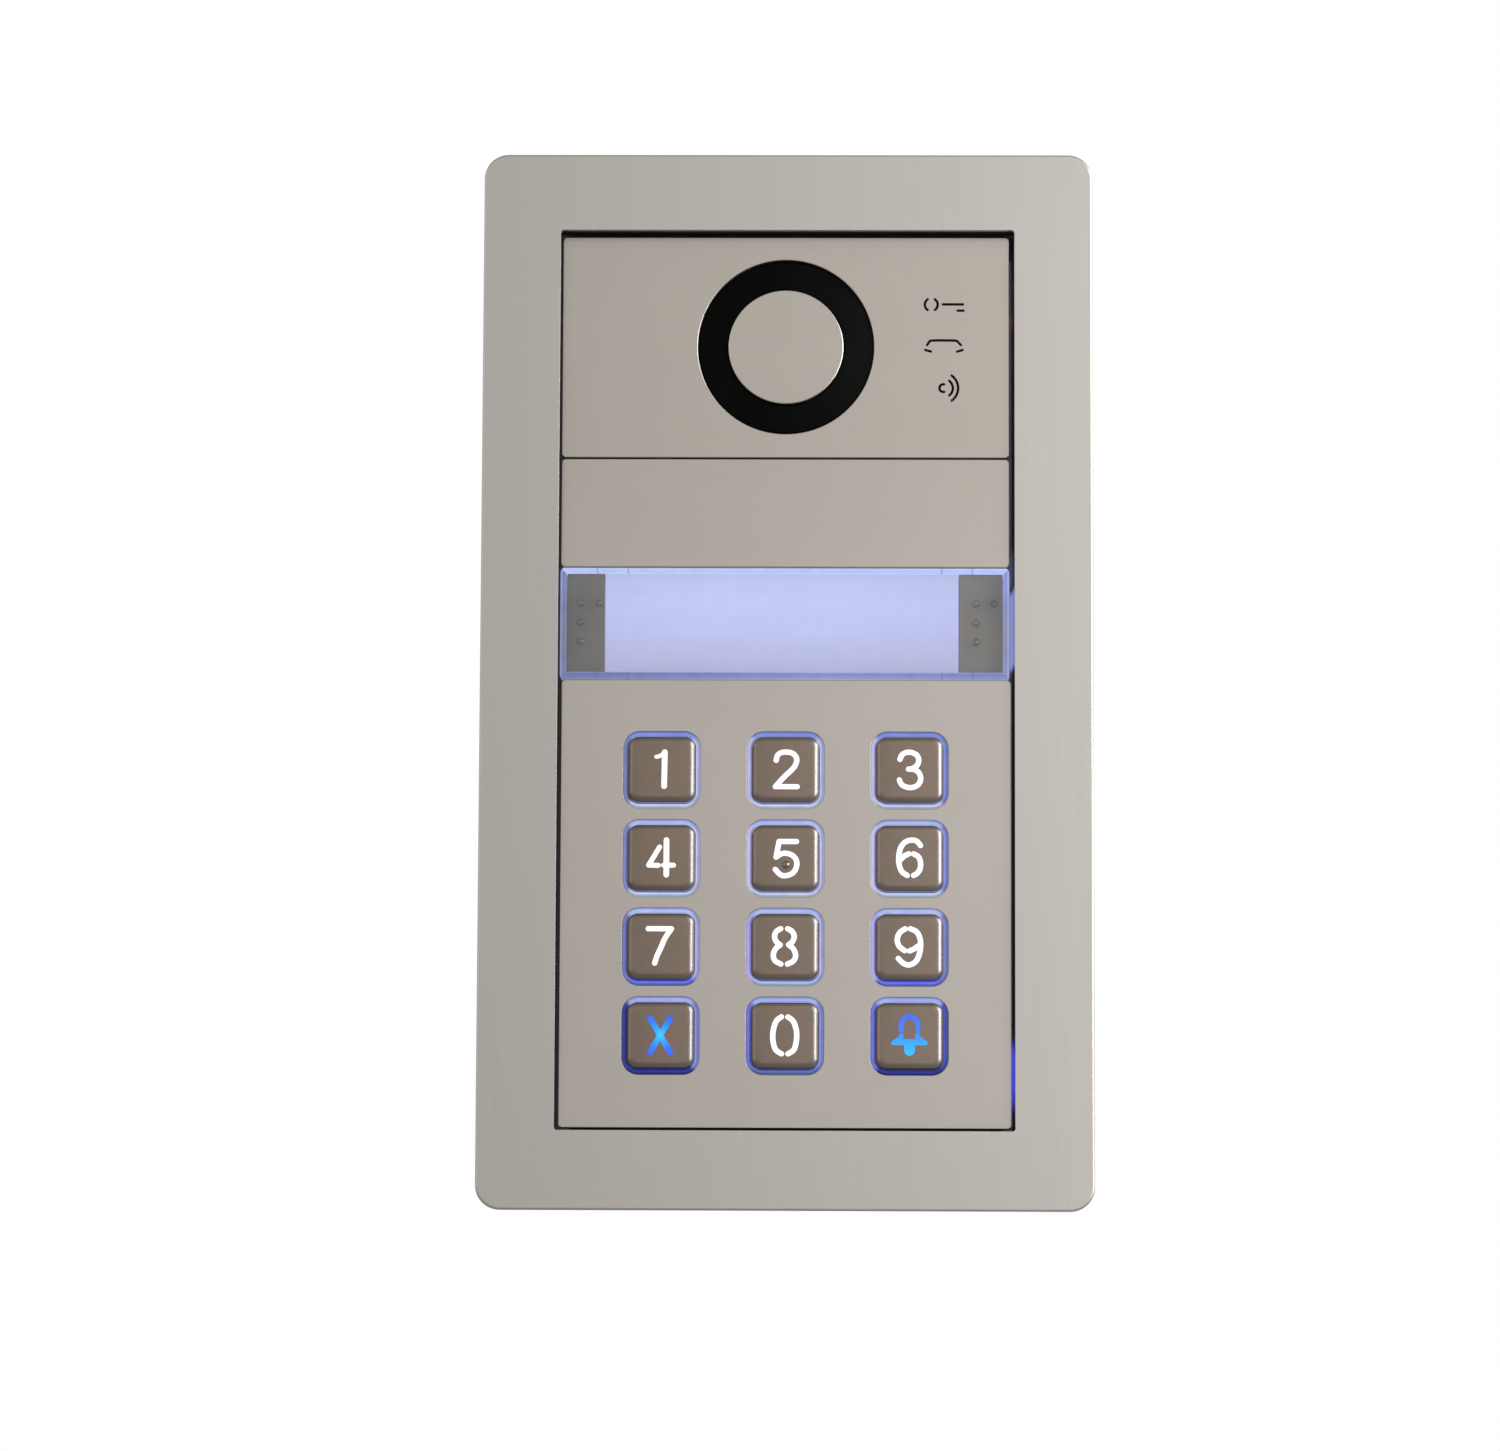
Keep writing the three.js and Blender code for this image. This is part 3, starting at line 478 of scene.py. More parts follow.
def plastic(name, tint, rough=(0.45, 0.6), grain=2600, bump=0.12, dark=0.85, light=1.15, spec=0.4, painted_light_gradient=1.0):
    """Moulded plastic with a spark-eroded grain, and optional painted shading that lightens it towards the right."""
    m = Mat(name)
    g = m.noise(m.obj((grain, grain, grain)), 1.0, 3.0, 0.65)
    w = m.noise(m.obj((60, 60, 60), (1.3, 0.2, 0.7)), 1.0, 2.0, 0.5)
    base = m.ramp(m.m("ADD", m.m("MULTIPLY", g, 0.6), m.m("MULTIPLY", w, 0.4)), [(0.35, shade(tint, dark)), (0.5, tint), (0.65, shade(tint, light))])
    if painted_light_gradient != 1.0:
        # painted shading: lighter towards the right, standing in for light from the right
        base = m.mix(1.0, base, m.ramp(m.span(m.xyz()[0], -0.045, 0.045), [(0.0, (1, 1, 1, 1)), (1.0, (painted_light_gradient, painted_light_gradient, painted_light_gradient, 1))]), "MULTIPLY")
    m.pbr(base=base, rough=m.span(g, 0.3, 0.7, rough[0], rough[1]), spec=spec, normal=m.bump(g, bump, 0.0001))
    return m.mat


STEEL = lin(199, 196, 192)
PLATE = lin(193, 187, 181)

M = {}
M["frame_steel"] = brushed("frame_steel", STEEL)
M["plate_metal"] = plate_metal()
M["key_steel"] = cap_steel()
M["black_plastic"] = plastic("black_plastic", lin(20, 20, 21))
M["box_plastic"] = plastic("box_plastic", lin(46, 47, 50), rough=(0.5, 0.66), bump=0.2)
# the end blocks get painted shading that lightens them towards the right
M["grey_plastic"] = plastic("grey_plastic", lin(121, 118, 112), rough=(0.5, 0.62), bump=0.04, dark=0.97, light=1.03, painted_light_gradient=1.22)
M["black_rubber"] = plastic("black_rubber", lin(26, 26, 26), rough=(0.7, 0.85), grain=1500, bump=0.15, spec=0.25)
M["zinc_steel"] = satin("zinc_steel", lin(170, 172, 175), dark=0.85, light=1.1, rough=(0.3, 0.5), grain=1500, bump=0.05, cloud=0.12)
M["circuit_board"] = None
M["terminal_plastic"] = plastic("terminal_plastic", lin(47, 108, 60), rough=(0.35, 0.5), bump=0.05, dark=0.93, light=1.06)
M["ribbon_plastic"] = None
M["silicone"] = plastic("silicone", lin(196, 196, 190), rough=(0.55, 0.7), grain=800, bump=0.04, dark=0.96, light=1.03, spec=0.3)


def _foam():
    m = Mat("foam_gasket")
    cells = m.n("TexVoronoi", {"feature": "F1"}, {"Vector": m.obj((1, 1, 1)), "Scale": 2200.0, "Randomness": 1.0}).outputs["Distance"]
    base = m.ramp(cells, [(0.0, lin(14, 14, 15)), (0.45, lin(34, 34, 35)), (0.9, lin(48, 48, 49))])
    m.pbr(base=base, rough=m.span(cells, 0, 0.8, 0.98, 0.82), spec=0.15, normal=m.bump(cells, 0.7, 0.0003))
    return m.mat


M["foam_gasket"] = _foam()


def _board():
    m = Mat("circuit_board")
    vec = m.obj((1, 1, 1))
    cells = m.n("TexVoronoi", {"feature": "F1", "distance": "MANHATTAN"}, {"Vector": vec, "Scale": 420.0, "Randomness": 0.7}).outputs["Distance"]
    tracks = m.ramp(cells, [(0.0, lin(24, 84, 48)), (0.38, lin(24, 84, 48)), (0.42, lin(16, 58, 34)), (1.0, lin(16, 58, 34))])
    n = m.noise(m.obj((900, 900, 900)), 1.0, 2.0, 0.5)
    m.pbr(base=tracks, rough=m.span(n, 0.3, 0.7, 0.3, 0.5), normal=m.bump(cells, 0.15, 0.0001))
    return m.mat


M["circuit_board"] = _board()


def _ribbon():
    m = Mat("ribbon_plastic")
    x, _, _ = m.xyz()
    s = m.m("SINE", m.m("MULTIPLY", x, 2 * math.pi / 0.00127))
    base = m.ramp(m.span(s, -1, 1), [(0.0, lin(92, 94, 98)), (0.6, lin(150, 152, 156)), (1.0, lin(160, 162, 166))])
    m.pbr(base=base, rough=m.span(s, -1, 1, 0.6, 0.42), normal=m.bump(s, 0.4, 0.0002))
    return m.mat


M["ribbon_plastic"] = _ribbon()


def _gloss():
    """Glossy black moulding, with faint dust and haze, and painted light that brightens it towards its right."""
    m = Mat("gloss_black")
    dust = m.noise(m.obj((5200, 5200, 5200)), 1.0, 2.0, 0.5)
    haze = m.noise(m.obj((160, 160, 160), (0.2, 0.4, 0.6)), 1.0, 3.0, 0.55)
    base = m.mix(m.span(dust, 0.66, 0.76), m.ramp(haze, [(0.3, lin(3, 3, 3)), (0.7, lin(5, 5, 5))]), lin(12, 11, 11))
    # painted light: the ring grows brighter towards its right
    base = m.mix(1.0, base, m.ramp(m.span(m.xyz()[0], -0.004, 0.0178), [(0.0, lin(3, 3, 3)), (0.6, lin(9, 9, 9)), (1.0, lin(18, 18, 17))]), "ADD")
    m.pbr(base=base, rough=m.span(haze, 0.3, 0.7, 0.16, 0.26), spec=0.02, normal=m.bump(haze, 0.03, 0.0003))
    return m.mat


M["gloss_black"] = _gloss()


def _smoked():
    m = Mat("smoked_plastic")
    haze = m.noise(m.obj((300, 300, 300)), 1.0, 2.0, 0.5)
    m.pbr(base=m.ramp(haze, [(0.3, lin(14, 10, 8)), (0.7, lin(22, 16, 12))]), rough=m.span(haze, 0.3, 0.7, 0.3, 0.4), spec=0.08, normal=m.bump(haze, 0.03, 0.0002))
    return m.mat


M["smoked_plastic"] = _smoked()


def _card():
    """Opal card lit from behind: brighter towards its middle and top, violet-grey at its lower edge and ends."""
    m = Mat("lit_card")
    x, _, z = m.xyz()
    u = m.span(m.m("ABSOLUTE", m.m("SUBTRACT", x, -0.0005)), 0.012, 0.037, 0, 1)
    v = m.span(z, 0.0016, 0.0215, 0, 1)
    up = m.ramp(v, [(0.0, lin(176, 178, 218)), (0.16, lin(186, 189, 228)), (0.42, lin(193, 199, 243)), (0.72, lin(197, 204, 250)), (0.93, lin(193, 200, 242)), (1.0, lin(188, 195, 236))])
    ends = m.ramp(u, [(0.0, (1, 1, 1, 1)), (0.6, (0.985, 0.97, 0.965, 1)), (1.0, (0.95, 0.93, 0.95, 1))])
    cloud = m.noise(m.obj((60, 60, 90), (0.1, 0, 0.3)), 1.0, 2.0, 0.5)
    c = m.mix(1.0, m.mix(1.0, up, ends, "MULTIPLY"), m.ramp(cloud, [(0.3, (0.975, 0.975, 0.98, 1)), (0.7, (1, 1, 1, 1))]), "MULTIPLY")
    m.pbr(base=shade(lin(200, 200, 200), 0.1), rough=m.span(cloud, 0.3, 0.7, 0.55, 0.65), spec=0.1, emit=c, strength=0.95)
    return m.mat


M["lit_card"] = _card()


def _clear(name="clear_plastic", tint=((0.965, 0.97, 0.985, 1), (0.98, 0.985, 1.0, 1)), ior=1.18):
    """Clear cover: see-through, with a faint grain and gloss."""
    m = Mat(name)
    g = m.noise(m.obj((260, 260, 260)), 1.0, 2.0, 0.5)
    gloss = m.n("BsdfGlossy", None, {"Roughness": m.span(g, 0.3, 0.7, 0.06, 0.12), "Color": (1, 1, 1, 1)})
    clear = m.n("BsdfTransparent", None, {"Color": m.ramp(g, [(0.3, tint[0]), (0.7, tint[1])])})
    mix = m.n("MixShader")
    fres = m.n("Fresnel", None, {"IOR": ior})
    m.set(mix.inputs[0], fres.outputs[0])
    m.set(mix.inputs[1], clear.outputs[0])
    m.set(mix.inputs[2], gloss.outputs[0])
    m.t.links.new(mix.outputs[0], m.out.inputs[0])
    return m.mat


M["clear_plastic"] = _clear()
def _dot_plastic():
    """Raised dots of the clear cover: painted shade dims the slopes, with a gloss."""
    m = Mat("dot_plastic")
    g = m.noise(m.obj((900, 900, 900)), 1.0, 2.0, 0.5)
    nx, ny, nz = m.xyz(m.n("NewGeometry").outputs["Normal"])
    flat = m.span(m.m("MULTIPLY", ny, -1.0), 0.72, 0.985, 0, 1, True)
    # painted shade: the see-through colour is darker on the slopes than on the flat top
    tint = m.mix(flat, m.ramp(g, [(0.3, (0.66, 0.66, 0.66, 1)), (0.7, (0.74, 0.74, 0.74, 1))]), m.ramp(g, [(0.3, (0.86, 0.86, 0.87, 1)), (0.7, (0.92, 0.92, 0.93, 1))]))
    clear = m.n("BsdfTransparent", None, {"Color": tint})
    lit = m.n("BsdfGlossy", None, {"Roughness": m.span(g, 0.3, 0.7, 0.08, 0.14), "Color": (1, 1, 1, 1)})
    mix = m.n("MixShader")
    m.set(mix.inputs[0], m.n("Fresnel", None, {"IOR": 1.5}).outputs[0])
    m.set(mix.inputs[1], clear.outputs[0])
    m.set(mix.inputs[2], lit.outputs[0])
    m.t.links.new(mix.outputs[0], m.out.inputs[0])
    return m.mat


M["dot_plastic"] = _dot_plastic()


def _legend_white():
    """Lit figure: nearly white, a touch bluer at its foot, with faint hot spots from the lamps behind."""
    m = Mat("legend_white")
    x, z, lx, lz, row, col = _cell(m)
    spots = m.noise(m.obj((420, 420, 420)), 1.0, 2.0, 0.5)
    c = m.ramp(m.span(lz, -0.0042, 0.0042), [(0.0, lin(249, 243, 255)), (0.5, lin(255, 250, 255)), (1.0, lin(255, 252, 255))])
    c = m.mix(1.0, c, m.ramp(spots, [(0.3, (0.94, 0.95, 0.99, 1)), (0.6, (1, 1, 1, 1))]), "MULTIPLY")
    m.pbr(base=shade(lin(255, 252, 255), 0.3), rough=m.span(spots, 0.3, 0.7, 0.35, 0.5), spec=0.2, emit=c, strength=1.0)
    return m.mat


def _legend_blue():
    """Lit signs of the lower corner keys: the cross is cyan at its middle and blue at its ends, the bell blue at its dome and cyan at its clapper."""
    m = Mat("legend_blue")
    x, z, lx, lz, row, col = _cell(m)
    r = m.m("SQRT", m.m("ADD", m.m("MULTIPLY", lx, lx), m.m("MULTIPLY", lz, lz)))
    cross = m.ramp(m.span(r, 0.0, 0.0045), [(0.0, lin(60, 205, 255)), (0.3, lin(30, 160, 255)), (0.7, lin(36, 110, 250)), (1.0, lin(48, 84, 226))])
    bell = m.ramp(m.span(lz, -0.0036, 0.0040), [(0.0, lin(40, 190, 255)), (0.3, lin(52, 160, 255)), (0.6, lin(58, 120, 255)), (1.0, lin(62, 96, 250))])
    spots = m.noise(m.obj((420, 420, 420)), 1.0, 2.0, 0.5)
    c = m.mix(1.0, m.mix(m.m("GREATER_THAN", x, 0.0), cross, bell), m.ramp(spots, [(0.3, (0.92, 0.94, 0.98, 1)), (0.6, (1, 1, 1, 1))]), "MULTIPLY")
    m.pbr(base=lin(40, 70, 150), rough=m.span(spots, 0.3, 0.7, 0.35, 0.5), spec=0.2, emit=c, strength=1.0)
    return m.mat


M["legend_white"] = _legend_white()
M["legend_blue"] = _legend_blue()


def _lightguide():
    """The lit rims of the keys. Each side pipes the light in its own way, and the lower rows are a deeper blue."""
    m = Mat("lit_plastic")
    x, z, lx, lz, row, col = _cell(m)
    r3 = m.m("DIVIDE", row, 3.0)
    ax, az = m.m("ABSOLUTE", lx), m.m("ABSOLUTE", lz)
    qx, qz = m.m("MAXIMUM", m.m("SUBTRACT", ax, 0.0045), 0.0), m.m("MAXIMUM", m.m("SUBTRACT", az, 0.0045), 0.0)
    d = m.m("ADD", m.m("SQRT", m.m("ADD", m.m("MULTIPLY", qx, qx), m.m("MULTIPLY", qz, qz))), 0.0045)
    u = m.span(d, 0.0067, 0.0079)  # across the rim, from the cap outwards
    outer_col = m.m("ABSOLUTE", col)

    def rows(c):
        return m.ramp(r3, [(0.0, lin(*c[0])), (0.3333, lin(*c[1])), (0.6667, lin(*c[2])), (1.0, lin(*c[3]))])

    def across(stops):
        return m.ramp(u, [(p, (a, a, b, 1)) for p, a, b in stops])

    top = m.mix(1.0, rows([(134, 152, 226), (178, 193, 249), (182, 198, 251), (170, 184, 247)]), across([(0.0, 0.3, 0.34), (0.17, 0.72, 0.7), (0.34, 1.0, 1.0), (0.6, 0.93, 0.97), (0.84, 0.66, 0.68), (1.0, 0.6, 0.55)]), "MULTIPLY")
    low_out = rows([(206, 214, 253), (204, 216, 253), (110, 118, 245), (47, 53, 152)])
    low_mid = rows([(210, 220, 253), (210, 220, 253), (184, 200, 248), (100, 116, 188)])
    low = m.mix(1.0, m.mix(outer_col, low_mid, low_out), across([(0.0, 0.26, 0.42), (0.17, 0.52, 0.72), (0.34, 0.88, 0.96), (0.5, 1.0, 1.0), (0.67, 0.7, 0.66), (0.84, 0.55, 0.4), (1.0, 0.5, 0.35)]), "MULTIPLY")
    l_in = rows([(202, 203, 242), (210, 208, 248), (184, 182, 242), (120, 124, 216)])
    l_out = rows([(130, 138, 182), (134, 143, 198), (124, 130, 186), (58, 62, 142)])
    left = m.mix(1.0, m.mix(m.m("LESS_THAN", col, -0.5), l_in, l_out), across([(0.0, 0.22, 0.3), (0.17, 0.3, 0.42), (0.34, 0.48, 0.6), (0.5, 0.8, 0.88), (0.67, 1.0, 1.0), (0.84, 0.86, 0.82), (1.0, 0.6, 0.6)]), "MULTIPLY")
    r_in = rows([(205, 208, 249), (210, 213, 250), (196, 197, 250), (150, 158, 232)])
    r_out = rows([(140, 156, 222), (144, 158, 224), (136, 146, 210), (76, 92, 182)])
    right = m.mix(1.0, m.mix(m.m("GREATER_THAN", col, 0.5), r_in, r_out), across([(0.0, 0.5, 0.6), (0.17, 0.78, 0.82), (0.34, 1.0, 1.0), (0.5, 0.74, 0.74), (0.67, 0.52, 0.58), (1.0, 0.5, 0.5)]), "MULTIPLY")
    side = m.mix(m.span(lx, -0.001, 0.001, 0, 1), left, right)
    up = m.span(m.m("SUBTRACT", lz, ax), -0.0009, 0.0009, 0, 1, True)
    down = m.span(m.m("SUBTRACT", m.m("MULTIPLY", lz, -1.0), ax), -0.0009, 0.0009, 0, 1, True)
    c = m.mix(down, m.mix(up, side, top), low)
    n = m.noise(m.obj((300, 300, 300)), 1.0, 2.0, 0.5)
    c = m.mix(1.0, c, m.ramp(n, [(0.3, (0.86, 0.88, 0.93, 1)), (0.7, (1.06, 1.05, 1.02, 1))]), "MULTIPLY")
    m.pbr(base=lin(18, 20, 40), rough=m.span(n, 0.3, 0.7, 0.18, 0.3), spec=0.15, emit=c, strength=0.95)
    return m.mat


M["lit_plastic"] = _lightguide()


def _cover_rim():
    """Edge of the clear cover, which pipes the card's light: stripes that follow each side, with faint moulding marks."""
    m = Mat("cover_edge")
    x, y, z = m.xyz()
    cx, half, z0, z1 = STACK_X * MM, PLATE_W / 2 * MM, BUTTON_Z[0] * MM, BUTTON_Z[1] * MM
    dx = m.m("SUBTRACT", x, cx)
    side = m.m("SUBTRACT", half, m.m("ABSOLUTE", dx))
    top, bottom = m.m("SUBTRACT", z1, z), m.m("SUBTRACT", z, z0)
    s = m.span(side, 0, COVER_WALL * MM)
    t = m.span(top, 0, COVER_TOP * MM)
    b = m.span(bottom, 0, COVER_BOTTOM * MM)
    cl = m.ramp(s, [(0.0, lin(128, 130, 152)), (0.14, lin(150, 157, 192)), (0.34, lin(130, 137, 172)), (0.5, lin(118, 123, 154)), (0.66, lin(119, 124, 156)), (0.82, lin(134, 137, 168)), (0.92, lin(124, 127, 150)), (1.0, lin(112, 114, 132))])
    cr = m.ramp(s, [(0.0, lin(118, 124, 158)), (0.13, lin(160, 166, 204)), (0.3, lin(158, 165, 209)), (0.45, lin(142, 148, 196)), (0.56, lin(116, 123, 166)), (0.7, lin(151, 155, 195)), (0.84, lin(149, 155, 182)), (1.0, lin(120, 122, 141))])
    ct = m.ramp(t, [(0.0, lin(140, 148, 172)), (0.12, lin(186, 198, 226)), (0.24, lin(196, 213, 252)), (0.45, lin(182, 200, 252)), (0.72, lin(178, 195, 248)), (0.88, lin(187, 200, 253)), (1.0, lin(182, 192, 242))])
    cb = m.ramp(b, [(0.0, lin(150, 153, 170)), (0.1, lin(147, 153, 184)), (0.24, lin(133, 145, 196)), (0.45, lin(127, 140, 202)), (0.7, lin(122, 133, 194)), (0.84, lin(130, 136, 190)), (0.93, lin(152, 157, 205)), (1.0, lin(163, 168, 208))])
    cb = m.mix(1.0, cb, m.ramp(m.span(dx, -0.046, 0.046), [(0.0, (0.72, 0.72, 0.74, 1)), (0.3, (0.9, 0.9, 0.92, 1)), (0.62, (1.12, 1.12, 1.12, 1)), (0.85, (1.02, 1.02, 1.02, 1)), (1.0, (0.92, 0.92, 0.92, 1))]), "MULTIPLY")
    cs = m.mix(m.m("GREATER_THAN", dx, 0.0), cl, cr)
    cs = m.mix(1.0, cs, m.ramp(m.span(z, z0, z1), [(0.0, (1.02, 1.02, 1.16, 1)), (0.2, (0.97, 0.95, 0.98, 1)), (0.42, (1.05, 1.02, 0.95, 1)), (0.66, (0.92, 0.95, 1.03, 1)), (0.85, (1.12, 1.16, 1.4, 1)), (1.0, (1.0, 1.06, 1.3, 1))]), "MULTIPLY")
    c = m.mix(m.m("LESS_THAN", side, m.m("MINIMUM", top, bottom)), m.mix(m.m("LESS_THAN", top, bottom), cb, ct), cs)
    n = m.noise(m.obj((420, 420, 420)), 1.0, 3.0, 0.6)
    c = m.mix(1.0, c, m.ramp(n, [(0.3, (0.9, 0.91, 0.94, 1)), (0.55, (1, 1, 1, 1)), (0.75, (1.05, 1.05, 1.02, 1))]), "MULTIPLY")
    for at in (-38.8, -32.5, 31.7, 38.0):
        near = m.span(m.m("ABSOLUTE", m.m("SUBTRACT", x, at * MM)), 0.00012, 0.0003, 0.4, 0.0)
        c = m.mix(m.m("MULTIPLY", near, m.m("GREATER_THAN", side, 0.003)), c, lin(100, 104, 150))
    m.pbr(base=lin(20, 20, 34), rough=m.span(n, 0.3, 0.7, 0.12, 0.24), spec=0.15, emit=c, strength=1.0)
    return m.mat


M["cover_edge"] = _cover_rim()


def _stray(name, tint, metal, rough, rise=0.0):
    """Dark inner wall that catches stray light from the button and from the keypad's lower corner, on the right."""
    m = Mat(name)
    x, _, z = m.xyz()
    z = m.m("SUBTRACT", z, rise)
    g = m.noise(m.obj((1500, 1500, 1500)), 1.0, 3.0, 0.6)
    hit = m.m("MULTIPLY", m.m("GREATER_THAN", x, 0.0451), m.m("LESS_THAN", x, 0.0472))
    button = m.m("MULTIPLY", m.span(z, 0.0015, 0.0032, 0, 1, True), m.span(z, 0.0195, 0.0175, 0, 1, True))
    above = m.m("MULTIPLY", m.span(z, 0.0195, 0.0205, 0, 1, True), m.span(z, 0.0275, 0.0255, 0, 1, True))
    low = m.m("MULTIPLY", m.span(z, -0.091, -0.084, 0, 1, True), m.span(z, -0.074, -0.078, 0, 1, True))
    red = m.m("MULTIPLY", m.span(z, 0.0735, 0.0755, 0, 1, True), m.span(z, 0.0785, 0.0765, 0, 1, True))
    # All of these are painted light, given as emission on the wall: a blue glow beside the button, a fainter one above
    # it, a violet-blue one by the keypad's lower corner and a dim red patch higher up.
    c = m.mix(1.0, m.mix(button, (0, 0, 0, 1), lin(116, 124, 178)), m.mix(low, (0, 0, 0, 1), lin(64, 58, 196)), "ADD")
    c = m.mix(1.0, c, m.mix(above, (0, 0, 0, 1), lin(40, 42, 66)), "ADD")
    c = m.mix(1.0, c, m.mix(red, (0, 0, 0, 1), lin(44, 14, 14)), "ADD")
    c = m.mix(hit, (0, 0, 0, 1), c)
    m.pbr(base=m.ramp(g, [(0.3, shade(tint, 0.85)), (0.7, shade(tint, 1.1))]), metal=metal, rough=m.span(g, 0.3, 0.7, rough[0], rough[1]), spec=0.25, emit=c, strength=1.0, normal=m.bump(g, 0.06, 0.0001))
    return m.mat


M["liner_plastic"] = _stray("liner_plastic", lin(16, 16, 17), 0.0, (0.5, 0.62))
M["chassis_zinc"] = _stray("chassis_zinc", lin(120, 122, 125), 1.0, (0.36, 0.5), 0.0026)


def _glow(name, tint, power):
    """Blue stray light inside the case."""
    m = Mat(name)
    n = m.noise(m.obj((130, 130, 130)), 1.0, 2.0, 0.5)
    m.pbr(base=lin(40, 44, 80), rough=m.span(n, 0.3, 0.7, 0.4, 0.6), emit=m.ramp(n, [(0.3, shade(tint, 0.7)), (0.7, tint)]), strength=power)
    return m.mat


# ---------------------------------------------------------------- legends of the keys, in mm from the key's centre
LEGENDS = {
    "key_1": [(1.17, [(0.6, 3.5), (0.5, -3.45)]), (0.8, curve([(-1.15, 2.55), (-0.45, 2.7), (0.15, 3.1), (0.55, 3.65)]))],
    "key_2": [(1.09, curve([(-1.95, 1.9), (-1.65, 2.95), (-0.85, 3.48), (0.15, 3.58), (1.35, 3.35), (2.1, 2.6), (2.2, 1.6), (1.55, 0.3), (-0.4, -1.6), (-2.1, -3.5)])), (1.09, [(-2.1, -3.5), (2.35, -3.5)])],
    "key_3": [(1.09, curve([(-2.0, 2.15), (-1.55, 3.1), (-0.6, 3.58), (0.4, 3.55), (1.45, 3.0), (1.85, 2.0), (1.5, 0.95), (0.6, 0.3), (-0.25, 0.15)])),
              (1.09, curve([(-0.25, 0.15), (0.8, 0.1), (1.85, -0.55), (2.25, -1.75), (1.75, -3.0), (0.6, -3.58), (-0.5, -3.55), (-1.6, -3.05), (-2.1, -2.05)]))],
    "key_4": [(1.02, [(-0.35, 2.15), (-2.55, -1.55), (-0.6, -1.58)]), (1.17, [(1.05, 3.55), (1.05, -3.5)]), (1.02, [(0.5, -1.55), (2.5, -1.55)])],
    "key_5": [(1.09, [(2.25, 3.35), (-1.3, 3.35), (-1.9, 0.15)]), (1.09, curve([(-1.9, 0.15), (-0.9, 0.8), (0.1, 0.95), (1.4, 0.55), (2.2, -0.4), (2.3, -1.6), (1.65, -2.95), (0.3, -3.6), (-0.95, -3.45), (-2.05, -2.35)]))],
    "key_6": [(1.09, curve([(2.2, 2.6), (1.5, 3.45), (0.4, 3.72), (-0.9, 3.3), (-1.8, 2.2), (-2.2, 0.5), (-2.15, -1.2), (-1.6, -2.7), (-0.5, -3.5)])), (1.1, curve([(-0.2, 0.9), (-1.1, 0.45), (-1.85, -0.3)])),
              (1.09, curve([(0.8, 0.9), (1.75, 0.35), (2.2, -0.75), (2.15, -2.0), (1.6, -3.0), (0.8, -3.5)]))],
    "key_7": [(1.09, [(-2.55, 3.55), (2.15, 3.55)]), (1.09, curve([(2.15, 3.55), (0.85, 1.6), (0.0, -0.4), (-0.75, -2.0), (-1.2, -3.45)]))],
    "key_8": [(1.09, curve([(-0.9, 3.62), (-1.75, 3.1), (-2.15, 2.1), (-1.8, 1.0), (-1.0, 0.35)])), (1.09, curve([(-1.0, 0.35), (-2.0, -0.55), (-2.4, -1.8), (-2.0, -2.9), (-0.85, -3.55)])),
              (1.09, curve([(0.5, 3.62), (1.4, 3.1), (1.85, 2.1), (1.5, 1.0), (0.7, 0.38)])), (1.09, curve([(0.7, 0.38), (1.7, -0.5), (2.15, -1.8), (1.7, -2.9), (0.5, -3.55)]))],
    "key_9": [(1.09, curve([(-0.9, 3.68), (-2.0, 2.9), (-2.5, 1.6), (-2.15, 0.2), (-1.0, -0.75)])), (1.09, curve([(0.15, 3.7), (1.4, 3.1), (2.1, 1.8), (2.25, 0.2), (2.0, -1.4), (1.3, -2.9), (0.0, -3.65), (-1.2, -3.35), (-2.3, -2.35)])), (1.1, curve([(0.0, -0.8), (0.9, -0.4), (1.75, 0.2)]))],
    "key_cross": [(1.2, [(-2.3, 3.85), (2.3, -3.9)]), (1.2, [(2.3, 3.85), (-2.3, -3.9)])],
    "key_0": [(1.09, curve([(-0.7, 3.78), (-1.75, 2.9), (-2.35, 1.0), (-2.4, -1.0), (-1.85, -2.85), (-0.65, -3.7)])), (1.09, curve([(0.6, 3.78), (1.7, 2.9), (2.35, 1.0), (2.35, -1.0), (1.85, -2.85), (0.65, -3.7)]))],
    "key_bell": [(0.98, [(-1.7, 1.25)] + arc(0, 2.25, 1.7, 1.68, 178, 2, 12) + [(1.7, 1.25)]), (0.9, [(-1.6, 0.3), (-1.7, -0.3), (-3.25, -1.42), (3.25, -1.42), (1.7, -0.3), (1.6, 0.3)]),
                 (1.2, [(-1.9, -1.2), (1.9, -1.2)]), (2.2, [(0, -1.9), (0, -2.9)])],
}
SHARP_ENDS = {"key_cross"}


def glyph(name, grow):
    polys = []
    for w, line in LEGENDS[name]:
        polys += thick(line, w + grow, flat=name in SHARP_ENDS)
    return union(polys)


# ---------------------------------------------------------------- face frame, liner, gasket, box
def face_frame():
    s = Shape()
    out = s.tube(rows_out(lambda i: rounded(125 - 2 * i, 216.5 - 2 * i, 5 - i, 14), -4.0, -2.5, 0.5, 0.12, 5))
    hole = s.tube(rows_out(lambda i: rounded(APERTURE[0] + 2 * i, APERTURE[1] + 2 * i, 0.6 + i, 4, *APERTURE[2:]), -4.0, -2.5, 0.035, 0.03, 3))
    s.cap(out[0], [hole[0]])
    s.cap(out[-1], [hole[-1]])
    build("face_frame_skin", s, [M["frame_steel"]], "panel", ["face_frame"])


